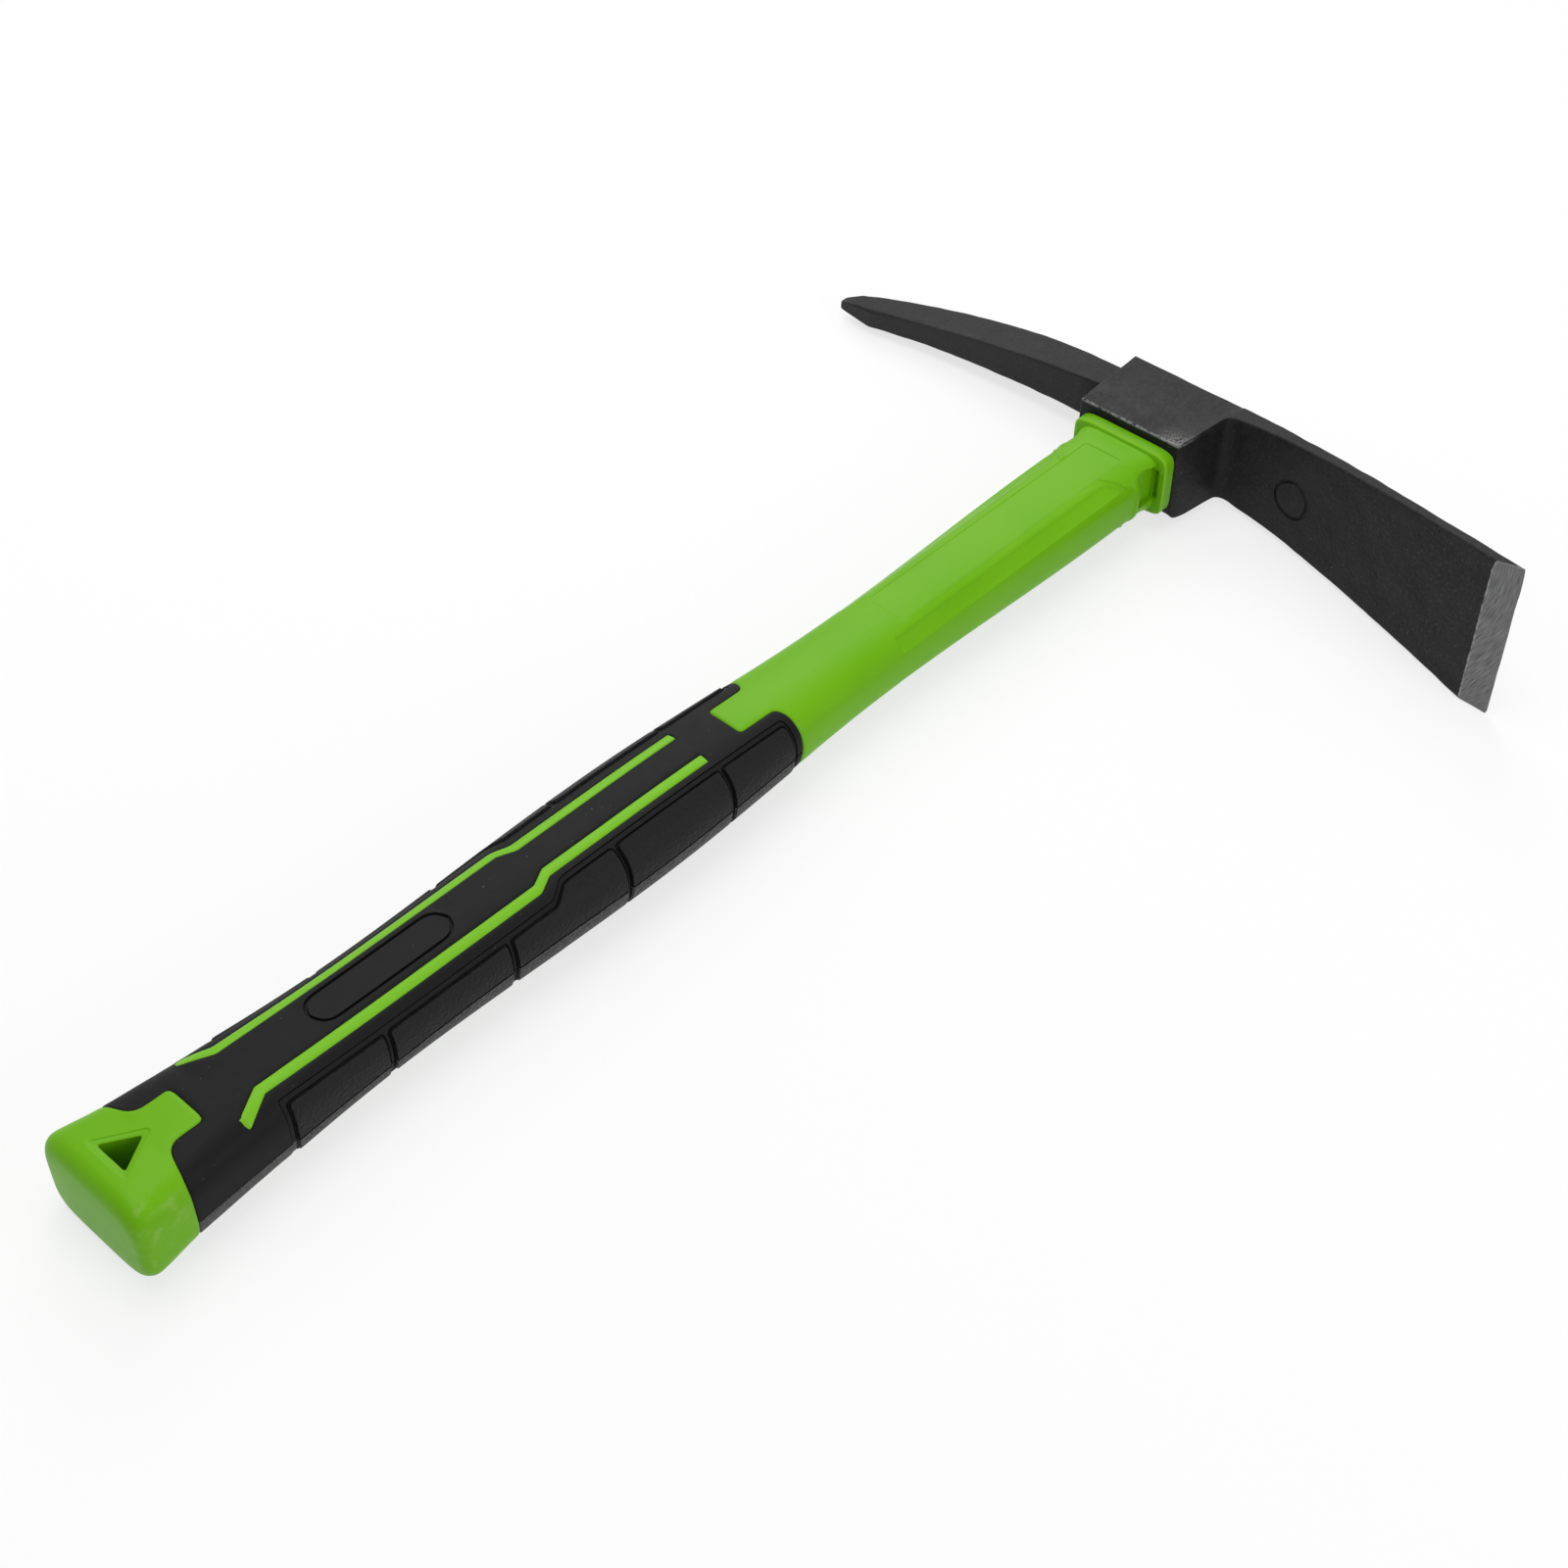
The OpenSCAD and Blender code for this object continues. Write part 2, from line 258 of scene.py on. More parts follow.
TAB_HALF, TONGUE_HALF = 6.3, 5.9
NOTCH_X, NOTCH_S = 21.2, 11.8
ROOT_X, ROOT_S = 210.6, 9.0
STRIPE_WIDE, STRIPE_NARROW, STRIPE_W = 7.0, 4.5, 2.9
PAD_WIDE, PAD_NARROW, CHANNEL_W = 12.9, 9.2, 1.7
JOG_SHIFT = 1.2
TOP_LANE, GRIP_LANE, PANEL_HALF = 3.4, 2.4, 6.65
CHAMFER_TOP, CHAMFER_MID, CHAMFER_LOW = 9.2, 11.7, 14.2
TIP_HALF = 0.4
FLANK_STEPS = 6


def plaque_end(x0, x1):
    """Round end of the plaque from its tip at x0 to its full width at x1."""
    return [(x0 + (x1 - x0) * (1 - math.cos(a)), max(TIP_HALF, PLAQUE_R * math.sin(a)))
            for a in quarter_angles()]


notch = quarter_turn(NOTCH_X, TAB_HALF, BUTT_BORDER, NOTCH_S)[::-1]
root = quarter_turn(ROOT_X, TONGUE_HALF, SHAFT_BORDER, ROOT_S)
plaque_tail = plaque_end(PLAQUE_START, PLAQUE_START + PLAQUE_R)
plaque_head = plaque_end(PLAQUE_END, PLAQUE_END - PLAQUE_R)[::-1]
LANES = [
    [(0, TOP_LANE), (TAB_END, 3), (PLAQUE_START - PLAQUE_R, GRIP_LANE)] + plaque_tail + plaque_head
    + [(PLAQUE_END + PLAQUE_R, GRIP_LANE), (STRIPE_END, GRIP_LANE), (SHAFT_BORDER, TOP_LANE),
       (EYE_X, TOP_LANE)],
    [(0, 7.5), (BUTT_ROUND, 8.6)] + notch
    + [(TAB_END, TAB_HALF), (FOOT_END, STRIPE_WIDE + FOOT_NEAR), (FOOT_BEND, STRIPE_WIDE),
       (JOG_START, STRIPE_WIDE), (JOG_END, STRIPE_NARROW), (STRIPE_END, STRIPE_NARROW),
       (TONGUE_END, TONGUE_HALF)] + root
    + [(TAPER_X, 7.2), (PANEL_START, PANEL_HALF), (EYE_X, PANEL_HALF)],
    [(0, 10.5), (BUTT_BORDER, 14.2), (NOTCH_X, 11.4), (TAB_END, 10.8),
     (FOOT_END, STRIPE_WIDE + FOOT_FAR), (FOOT_BEND + FOOT_SHIFT, STRIPE_WIDE + STRIPE_W),
     (JOG_START, STRIPE_WIDE + STRIPE_W), (JOG_END, STRIPE_NARROW + STRIPE_W),
     (STRIPE_END, STRIPE_NARROW + STRIPE_W), (TONGUE_END, 7.6), (ROOT_X, 7.8), (SHAFT_BORDER, 10.8),
     (TAPER_X, 10), (CHAMFER_START, CHAMFER_TOP), (EYE_X, CHAMFER_TOP)],
    [(0, 13), (BUTT_BORDER, 16.4), (NOTCH_X, 14.4), (TAB_END, 14.4), (FOOT_END, 17.3),
     (FOOT_BEND, 13.2), (PAD_GROOVES[0][0], PAD_WIDE), (JOG_START + JOG_SHIFT, PAD_WIDE),
     (JOG_END + JOG_SHIFT, PAD_NARROW), (ROOT_X, PAD_NARROW), (SHAFT_BORDER, 12.4), (TAPER_X, 12),
     (CHAMFER_START, CHAMFER_MID), (EYE_X, CHAMFER_MID)],
    [(0, 15.5), (BUTT_BORDER, 18.6), (NOTCH_X, 17), (TAB_END, 17), (FOOT_END, 18.6), (FOOT_BEND, 15),
     (PAD_GROOVES[0][0], PAD_WIDE + CHANNEL_W), (JOG_START + JOG_SHIFT, PAD_WIDE + CHANNEL_W),
     (JOG_END + JOG_SHIFT, PAD_NARROW + CHANNEL_W), (ROOT_X, PAD_NARROW + CHANNEL_W),
     (SHAFT_BORDER, 14.4), (TAPER_X, 14.2), (CHAMFER_START, CHAMFER_LOW), (EYE_X, CHAMFER_LOW)],
]
QUARTER = len(LANES) + FLANK_STEPS
AROUND = 4 * QUARTER

# Where a cross line of the grid leans along the handle: middle, reach, first and last lane distance, shift
LEANS = [(BUTT_BORDER, 9, NOTCH_S, 17, -1.0), (FOOT_END, 5, 11.6, 15.3, 0.6),
         (SHAFT_BORDER, 9, ROOT_S, 22, 1.2), (CHAMFER_END, 13, CHAMFER_TOP - 2, 12.5, 7)]
ZONES = ["green", "panel", "facet", "chevron", "stripe", "top", "channel", "plaque", "pad"]
GREEN_ZONES = ZONES[:5]
BLACK_ZONES = ZONES[5:]


def handle_rows():
    """(x, half width, half thickness, squareness) of each cross section, from the butt's middle on."""
    rows = []
    for share in BUTT_FACE_SHARES:
        inset = BUTT_ROUND + (1 - share) * (BUTT_T / 2 - BUTT_ROUND)
        w = half_w(0) - BUTT_SIDE_SHARE * inset
        rows.append((BUTT_DOME * share ** 2, w, half_t(0) - inset, squareness(0)))
    for k in range(BUTT_STEPS):
        a = math.pi / 2 * k / BUTT_STEPS
        x = BUTT_DOME + (BUTT_ROUND - BUTT_DOME) * (1 - math.cos(a))
        inset = BUTT_ROUND * (1 - math.sin(a))
        w = half_w(x) - BUTT_SIDE_SHARE * inset
        rows.append((x, w, half_t(x) - inset, squareness(x)))
    marks = [BUTT_ROUND, BUTT_BORDER, TAB_END, FOOT_END, FOOT_BEND, FOOT_BEND + FOOT_SHIFT,
             PLAQUE_START, PLAQUE_END, JOG_START, JOG_START + JOG_SHIFT, JOG_END, JOG_END + JOG_SHIFT,
             TONGUE_END, SHAFT_BORDER, CHAMFER_START, PANEL_START, CHAMFER_END,
             CHEVRON_START, CHEVRON_END, RIB_X, RIB_X + EDGE, SHAFT_END]
    marks += [x for groove in PAD_GROOVES for x in groove]
    for x, _ in notch + root + plaque_tail + plaque_head:
        if min(abs(x - mark) for mark in marks) > CLOSEST:
            marks.append(x)
    marks += [TAB_END - TAB_SUPPORT, STRIPE_END - SUPPORT, TONGUE_END + TAB_SUPPORT,
              CHAMFER_START + SUPPORT]
    rows += [(x, half_w(x), half_t(x), squareness(x)) for x in spread(sorted(marks), ROW_STEP)]
    w, t = SHAFT_END_W / 2 - NECK_STEP, SHAFT_T / 2
    rows += [(x, w, t, NECK_SQUARE) for x in (SHAFT_END + EDGE, PANEL_END, PANEL_END + EDGE, NECK_END)]
    w, t = w - NECK_GROOVE_SIDE, t - NECK_GROOVE
    rows += [(x, w, t, COLLAR_SQUARE) for x in (GROOVE_START, GROOVE_END)]
    w, t, edge = COLLAR_W / 2, COLLAR_T / 2, COLLAR_EDGE
    rows += [(COLLAR_X, w - edge, t - edge, COLLAR_SQUARE)]
    rows += [(x, w, t, COLLAR_SQUARE) for x in (COLLAR_X + edge, EYE_X - edge)]
    rows += [(EYE_X, w - inset, t - inset, COLLAR_SQUARE) for inset in (edge, *COLLAR_FACE_INSETS)]
    return rows


OUTLINE_POINTS = 181


def quarter_outline(w, t, square):
    """A quarter of a cross section: its points by the distance from the top's middle, and its length."""
    turn = np.linspace(0, np.pi / 2, OUTLINE_POINTS)
    y = w * np.sin(turn) ** (2 / square)
    z = t * np.cos(turn) ** (2 / square)
    length = np.concatenate([[0], np.cumsum(np.hypot(np.diff(y), np.diff(z)))])
    return lambda s: (np.interp(s, length, y), np.interp(s, length, z)), length[-1]


def lean(x, s):
    """How far a point at lane distance s moves along the handle."""
    shift = 0
    for middle, reach, first, last, most in LEANS:
        fade = max(0, 1 - abs(x - middle) / reach)
        shift += most * fade * min(max((s - first) / (last - first), 0), 1)
    return shift


def section_points(row):
    """The points of a quarter cross section, from the top's middle to the side."""
    x, w, t, square = row
    place, length = quarter_outline(w, t, square)
    whole = quarter_outline(half_w(min(x, SHAFT_END)), half_t(x), square)[1]
    lanes = [0] + [np.interp(x, *zip(*lane)) for lane in LANES]
    shrink = length / whole if x < BUTT_ROUND or x > COLLAR_X else 1
    lanes = [s * shrink for s in lanes]
    lanes += [lanes[-1] + (length - lanes[-1]) * k / FLANK_STEPS for k in range(1, FLANK_STEPS + 1)]
    points = [place(s) for s in lanes]
    if CHAMFER_START < x <= CHAMFER_END:
        top, low = len(LANES) - 2, len(LANES)
        points[top + 1] = (np.add(points[top], points[low])) / 2
    return [(x + lean(x, s), y, z) for s, (y, z) in zip(lanes, points)]


def zone_of(x, lane):
    """Zone of a face, by its middle along the handle and its lane from the top's middle."""
    in_groove = any(start < x < end for start, end in PAD_GROOVES)
    if x > SHAFT_BORDER:
        if lane < 2 and PANEL_START < x < PANEL_END:
            return "panel"
        if 3 <= lane < 5 and CHAMFER_START < x < CHAMFER_END:
            return "facet"
        return "chevron" if 2 <= lane < 5 and CHEVRON_START < x < CHEVRON_END else "green"
    if x < BUTT_BORDER or lane < 2 and (x < TAB_END or x > TONGUE_END):
        return "green"
    if lane == 2 and FOOT_END < x < STRIPE_END:
        return "stripe"
    if lane == 0 and PLAQUE_START < x < PLAQUE_END:
        return "plaque"
    if lane >= 4 and PAD_GROOVES[0][0] < x < PAD_GROOVES[-1][1]:
        return "channel" if lane == 4 or in_groove else "pad"
    return "top"


def low_stretch(row):
    """How much deeper a cross section of the butt's end is below than above, where its edge is tighter."""
    x, t = row[0], row[2]
    return 1 + (1 - BUTT_LOW_SHARE) * (half_t(x) - t) / t if x < BUTT_ROUND else 1


def handle_blank():
    """The whole handle as one skin, its faces marked by zone."""
    rows = handle_rows()
    sections = [section_points(row) for row in rows]
    stretches = [low_stretch(row) for row in rows]

    def point(row, step):
        side, lane = divmod(step, QUARTER)
        if side % 2:
            lane = QUARTER - lane
        x, y, z = sections[row][lane]
        return at(x, -y if side < 2 else y, z if side in (0, 3) else -z * stretches[row])

    def label(row, step):
        side, lane = divmod(step, QUARTER)
        if side % 2:
            lane = QUARTER - 1 - lane
        return ZONES.index(zone_of((rows[row][0] + rows[row + 1][0]) / 2, lane))

    return rolled_grid("green_sleeve", len(rows), AROUND, point, label)


def select_zones(mesh, *names):
    wanted = {ZONES.index(name) for name in names}
    zone = mesh.faces.layers.int["zone"]
    bpy.ops.mesh.select_all(action="DESELECT")
    for face in mesh.faces:
        if face[zone] in wanted:
            face.select_set(True)


def crease_border(mesh, value):
    """Creases the border of the selected faces and leaves them selected."""
    chosen = [face for face in mesh.faces if face.select]
    bpy.ops.mesh.region_to_loop()
    bpy.ops.transform.edge_crease(value=value)
    bpy.ops.mesh.select_mode(type="FACE")
    bpy.ops.mesh.select_all(action="DESELECT")
    for face in chosen:
        face.select_set(True)


def step_in(piece, names, steps, crease=0):
    """Insets the areas of these zones step by step: (thickness, depth). Crease sharpens the edges."""
    mesh = edit(piece)
    select_zones(mesh, *names)
    if crease:
        crease_border(mesh, crease)
    for thickness, depth in steps:
        bpy.ops.mesh.inset(thickness=thickness * MM, depth=depth * MM,
                           use_even_offset=True, use_boundary=True)
        mesh = bmesh.from_edit_mesh(piece.data)
        if crease:
            crease_border(mesh, crease)
    close_edit()


ON_RING = 0.02


def crease_ring(piece, x, beyond, value):
    """Sharpens the cross line at x where it is further than this to the side of the handle's axis."""
    mesh = edit(piece)
    bpy.ops.mesh.select_mode(type="EDGE")
    for edge in mesh.edges:
        on_ring = all(abs(corner.co.x - at(x, 0, 0).x) < ON_RING * MM for corner in edge.verts)
        out = all(abs(corner.co.y - at(0, 0, 0).y) >= beyond * MM for corner in edge.verts)
        edge.select_set(on_ring and out)
    bpy.ops.transform.edge_crease(value=value)
    close_edit()


def rounded_box(name, spans, along, corner_r, segments):
    """A box over the spans in x, y and z, whose edges along one of these axes are rounded."""
    deselect_all()
    bpy.ops.mesh.primitive_cube_add(size=1)
    box = start_piece(name)
    for corner in box.data.vertices:
        corner.co = at(*(span[side > 0] for span, side in zip(spans, corner.co)))
    mesh = edit(box)
    bpy.ops.mesh.select_mode(type="EDGE")
    for edge in mesh.edges:
        start, end = (corner.co[along] for corner in edge.verts)
        edge.select_set(abs(start - end) > MERGE)
    bpy.ops.mesh.bevel(offset=corner_r * MM, segments=segments, affect="EDGES")
    close_edit()
    return box


def about(middle, size):
    """Span of this size about its middle."""
    return middle - size / 2, middle + size / 2


def cut_neck(sleeve):
    """A pocket in each side of the neck and an upright slot beside it in the collar."""
    for side in (-1, 1):
        across = sorted((side * POCKET_HALF_W, side * COLLAR_W / 2))
        pocket = [(POCKET_X, COLLAR_X - POCKET_GAP), across, about(POCKET_Z, POCKET_H)]
        cut(sleeve, rounded_box("pocket_cutter", pocket, along=1, corner_r=POCKET_R, segments=4))
        slot = [(COLLAR_X - SLOT_LEAD, COLLAR_X + SLOT_DEPTH), about(side * SLOT_Y, SLOT_W),
                about(SLOT_Z, SLOT_H)]
        cut(sleeve, rounded_box("slot_cutter", slot, along=1, corner_r=SLOT_R, segments=4))


PARTING_Z, PARTING_RISE, PARTING_W, PARTING_DEPTH = -3.2, 2.2, 0.5, 0.4
PARTING_START, RISE_START, RISE_END, PARTING_END = 15, 44, 130, 216


def parting_cutter(side):
    """A thin bar along one side of the handle that leaves the mould's parting line in the black."""
    stops = spread([PARTING_START, PARTING_END], ROW_STEP)

    def point(row, step):
        x = stops[row]
        z = PARTING_Z + PARTING_RISE * ease((x - RISE_START) / (RISE_END - RISE_START))
        square = squareness(x)
        surface = half_w(x) * (1 - (-z / half_t(x)) ** square) ** (1 / square)
        y = surface - PARTING_DEPTH if step in (0, 3) else surface + OVERRUN
        return at(x, side * y, z + (PARTING_W / 2 if step > 1 else -PARTING_W / 2))

    return rolled_grid("parting_cutter", len(stops), 4, point)


BORDER_HALF, BORDER_DEPTH = 0.28, 0.4
CORNER_TURN, CORNER_CREASE = 19, 0.7
GRIP_WALL, GRIP_GAP = 2.6, 0.1


def colour_border(mesh):
    """The edges where green meets black."""
    zone = mesh.faces.layers.int["zone"]
    green = {ZONES.index(name) for name in GREEN_ZONES}
    return [edge for edge in mesh.edges if len({face[zone] in green for face in edge.link_faces}) == 2]


def sink_colour_border(piece):
    """Presses the line between the colours into the surface and sharpens its corners."""
    mesh = edit(piece)
    bpy.ops.mesh.select_mode(type="EDGE")
    zone = mesh.faces.layers.int["zone"]
    border = colour_border(mesh)
    meets = {}
    for edge in border:
        edge.select_set(True)
        if any(face[zone] == ZONES.index("stripe") for face in edge.link_faces):
            for corner in edge.verts:
                meets.setdefault(corner, []).append(edge.other_vert(corner).co - corner.co)
    bpy.ops.transform.shrink_fatten(value=-BORDER_DEPTH * MM)
    bpy.ops.transform.edge_crease(value=1)
    bpy.ops.mesh.select_mode(type="VERT")
    bpy.ops.mesh.select_all(action="DESELECT")
    for corner, ways in meets.items():
        if len(ways) == 2 and math.degrees(ways[0].angle(-ways[1])) > CORNER_TURN:
            corner.select_set(True)
    bpy.ops.transform.vert_crease(value=CORNER_CREASE)
    close_edit()


HOLE_X, HOLE_L, HOLE_W, HOLE_CORNER = 7.85, 8.6, 10.6, 0.95
HOLE_FLARE, HOLE_FLARE_DEPTH = 1.35, 0.3
RIM_W, RIM_LONGER, RIM_WIDER = 1.1, 3.2, 3.6
RIM_DEPTH, RIM_CORNER, RIM_FLARE = 0.3, 1.6, 1.3
SAME_TURN, SAME_WAY = 0.1, 0.9


def triangle_bar(name, x, length, width, low, high, corner_r):
    """A triangular bar along z that points to the head."""
    deselect_all()
    bpy.ops.mesh.primitive_cylinder_add(vertices=3, radius=1, depth=1)
    bar = start_piece(name)
    for corner in bar.data.vertices:
        turn = math.atan2(corner.co.x, corner.co.y)
        at_base = abs(turn) > SAME_TURN
        corner.co = at(x if at_base else x + length, math.copysign(width / 2, turn) * at_base,
                       low if corner.co.z < 0 else high)
    mesh = edit(bar)
    bpy.ops.mesh.select_all(action="SELECT")
    bpy.ops.mesh.normals_make_consistent(inside=False)
    bpy.ops.mesh.select_mode(type="EDGE")
    bpy.ops.mesh.select_all(action="DESELECT")
    for side in mesh.edges:
        if abs(side.verts[0].co.z - side.verts[1].co.z) > MM:
            side.select_set(True)
    bpy.ops.mesh.bevel(offset=corner_r * MM, segments=5, affect="EDGES")
    close_edit()
    return bar


def flare_end(bar, side, longer, wider):
    """Makes one end of a bar along z longer, and wider by a share."""
    mesh = edit(bar)
    for face in mesh.faces:
        face.select_set(face.normal.z * side > SAME_WAY)
    if longer:
        bpy.ops.mesh.extrude_region_move(TRANSFORM_OT_translate={"value": (0, 0, side * longer * MM)})
    bpy.ops.transform.resize(value=(wider, wider, 1))
    close_edit()


def hole_cutter(reach):
    """A triangular bar through the butt that widens where it leaves the surface."""
    reach -= HOLE_FLARE_DEPTH
    bar = triangle_bar("hole_cutter", HOLE_X, HOLE_L, HOLE_W, -reach, reach, HOLE_CORNER)
    for side in (-1, 1):
        flare_end(bar, side, 2 * HOLE_FLARE_DEPTH, HOLE_FLARE)
    return bar


def rim_cutter(side, reach):
    """A shallow triangular dip round the hole."""
    far, near = side * (reach + OVERRUN), side * (reach - RIM_DEPTH)
    bar = triangle_bar("rim_cutter", HOLE_X - RIM_W, HOLE_L + RIM_LONGER * RIM_W,
                       HOLE_W + RIM_WIDER * RIM_W, min(far, near), max(far, near), RIM_CORNER)
    flare_end(bar, side, 0, RIM_FLARE)
    return bar


# Relief of each zone: width and depth of its steps from the border inwards, and how sharp their edges are
RELIEF = {
    "channel": ([(0.14, -0.5), (0.14, 0.24)], 0.9),
    "pad": ([(0.15, -0.35), (0.15, 0), (0.2, 0.75)], 0.9),
    "plaque": ([(0.22, -0.8), (0.45, 0), (0.22, 0.7)], 0.9),
    "panel": ([(0.18, -0.2)], 0.8),
    "facet": ([(0.15, -0.08)], 0.7),
    "chevron": ([(0.25, 0.3)], 0.7),
}
DOME_CREASE, RIB_CREASE, RIB_SIDE = 0.6, 0.9, 10
HANDLE_SMOOTH = math.radians(38)


def handle():
    """The green sleeve and the black overmould in its recess."""
    sleeve = handle_blank()
    step_in(sleeve, GREEN_ZONES, [(BORDER_HALF, 0)])
    step_in(sleeve, BLACK_ZONES, [(BORDER_HALF, 0)])
    for name, (steps, crease) in RELIEF.items():
        step_in(sleeve, [name], steps, crease)
    sink_colour_border(sleeve)
    crease_ring(sleeve, BUTT_DOME, 0, DOME_CREASE)
    for x in (RIB_X, RIB_X + EDGE, SHAFT_END, SHAFT_END + EDGE):
        crease_ring(sleeve, x, RIB_SIDE, RIB_CREASE)
    for x in (GROOVE_END, COLLAR_X, COLLAR_X + COLLAR_EDGE, EYE_X - COLLAR_EDGE):
        crease_ring(sleeve, x, 0, 1)
    mesh = edit(sleeve)
    select_zones(mesh, *BLACK_ZONES)
    bpy.ops.mesh.duplicate()
    bpy.ops.mesh.separate(type="SELECTED")
    close_edit()
    grip = next(o for o in bpy.context.selected_objects if o != sleeve)
    grip.name = grip.data.name = "black_grip"
    mesh = edit(sleeve)
    select_zones(mesh, *BLACK_ZONES)
    bpy.ops.mesh.extrude_region_shrink_fatten(TRANSFORM_OT_shrink_fatten={"value": -GRIP_WALL * MM})
    close_edit()
    finish_with(grip, "SOLIDIFY", thickness=(GRIP_WALL - GRIP_GAP) * MM, offset=-1)
    for piece in (sleeve, grip):
        subdivide(piece, 1)
    place = sleeve.ray_cast(at(HOLE_X + HOLE_L / 3, 0, BUTT_T), (0, 0, -1))[1]
    reach = place.z / MM - ORIGIN.z
    for side in (-1, 1):
        cut(sleeve, rim_cutter(side, reach))
    cut(sleeve, hole_cutter(reach - RIM_DEPTH))
    cut_neck(sleeve)
    for side in (-1, 1):
        cut(grip, parting_cutter(side))
    for piece in (sleeve, grip):
        make_active(piece)
        bpy.ops.object.shade_smooth_by_angle(angle=HANDLE_SMOOTH)
    return sleeve, grip


sleeve, grip = handle()
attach(sleeve, "root")
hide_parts("handle_sleeve")
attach(grip, "root")
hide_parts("grip")


# Head: its lines in plan, as (x, y)

OVERALL = head_hi.x / MM - ORIGIN.x
ARCH_RISE = 0.9
CROWN_X = OVERALL - ARCH_RISE
EYE_H = CROWN_X - EYE_X
EYE_W, PICK_SIDE_MORE, CROWN_W, EYE_T = 35.6, 1.2, 41.2, 27
EYE_HOLE_W, EYE_HOLE_T, EYE_HOLE_R = 25, 17, 5
EYE_EDGE, EYE_CORNER, EYE_LOW_ROUND = 0.7, 0.8, 3.2
EYE_SIDE_CORNER, EYE_SIDE_LOW_ROUND = 0.7, 2.4
ROOT_SHARE, BLADE_LONGER = 0.26, 0.5
ROOT_Y = ROOT_SHARE * CROWN_W
BLADE_REACH = ORIGIN.y - head_lo.y / MM + BLADE_LONGER
BLADE_W = (head_hi.z - head_lo.z) / MM
BLADE_DROP, BLADE_ROOT_T, BLADE_MID_T, BLADE_EDGE_T = 25.2, 8, 5.2, 3.8
BEND_PLACE, BEND_DROP, OUTER_LEAD = 0.26, 0.13, 1.2
BEVEL_L, BLADE_FILLET = 9.1, 3.6
FILLET_LOW_ROUND, BLADE_LOW_ROUND, BEVEL_CORNER = 1.5, 0.9, 0.5
LOW_BULGE, LOW_BULGE_POWER = 0.9, 0.7
EDGE_T, EDGE_BACK = 0.5, 0.1
PICK_REACH = head_hi.y / MM - ORIGIN.y
PICK_OUTER = [(CROWN_X, CROWN_W / 2), (407.6, 67), (383.2, 113.5)]
PICK_INNER = [(390.6, ROOT_Y), (391.1, 60), (377.2, 106)]
PICK_ROOT_Y, PICK_ROOT_HALF, PICK_SHOULDER_HALF, PICK_SWELL, PICK_BULGE = 22, 7, 3, 1.35, 0.8
PICK_FILLET, PICK_CORNER, PICK_FOOT_CORNER = 1.2, 0.9, 1.5
TIP_X, TIP_H, TIP_W, TIP_CORNER, TIP_SWELL = 378.3, 3.6, 3.2, 0.5, 0.8
CORNER_STEPS, CORNER_LIMIT = 3, 0.48
SIDE_STEPS = [5, 6, 5, 6]
CURVE_POINTS = 401

# Head: its cross sections. The tip's are listed by share of its size and distance from its end, the
# others by shares of the stretch or the edge that they follow.
TIP_ROUNDING = [(0.5, 0), (0.85, 0.15), (1, 0.6)]
POINT_SHARES = [0.35, 0.7, 0.94]
PICK_STEPS, PICK_EDGE_SHARE, SECTION_GAP = 24, 0.98, 0.1
EYE_SIDE_SHARES = [1.6, 1.1]
EYE_SHARES = [1, 0.97, 0.6, 0.2, -0.2, -0.6, -0.94]
FILLET_STEPS, BLADE_STEPS, BLADE_EDGE_SHARE = 5, 22, 0.988
BEVEL_SHARES = [0.05, 0.4, 0.75, 0.96, 1]


def curve(points, t):
    """Point of a curve that starts at the first point, aims at the second and ends at the third."""
    p0, p1, p2 = (np.array(p) for p in points)
    return (1 - t) ** 2 * p0 + 2 * t * (1 - t) * p1 + t * t * p2


def through_middle(start, mid, end):
    """Aim that makes a curve pass through mid when it is halfway."""
    return 2 * mid - (start + end) / 2


def curve_share_at(points, y):
    """How far along a curve its y is reached."""
    shares = np.linspace(0, 1, CURVE_POINTS)
    ys = np.array([curve(points, t)[1] for t in shares])
    order = np.argsort(ys)
    return float(np.interp(y, ys[order], shares[order]))


def wall_y(x, more=0):
    """Distance of the eye's slanting side walls from the handle's axis."""
    share = (x - EYE_X) / EYE_H
    return EYE_W / 2 + more * (1 - share) + (CROWN_W - EYE_W) / 2 * share


def pick_half(y):
    """Half the pick's thickness at y."""
    return PICK_SHOULDER_HALF + (PICK_ROOT_HALF - PICK_SHOULDER_HALF) * (
        max(0, PICK_INNER[2][1] - y) / (PICK_INNER[2][1] - PICK_ROOT_Y)) ** PICK_SWELL


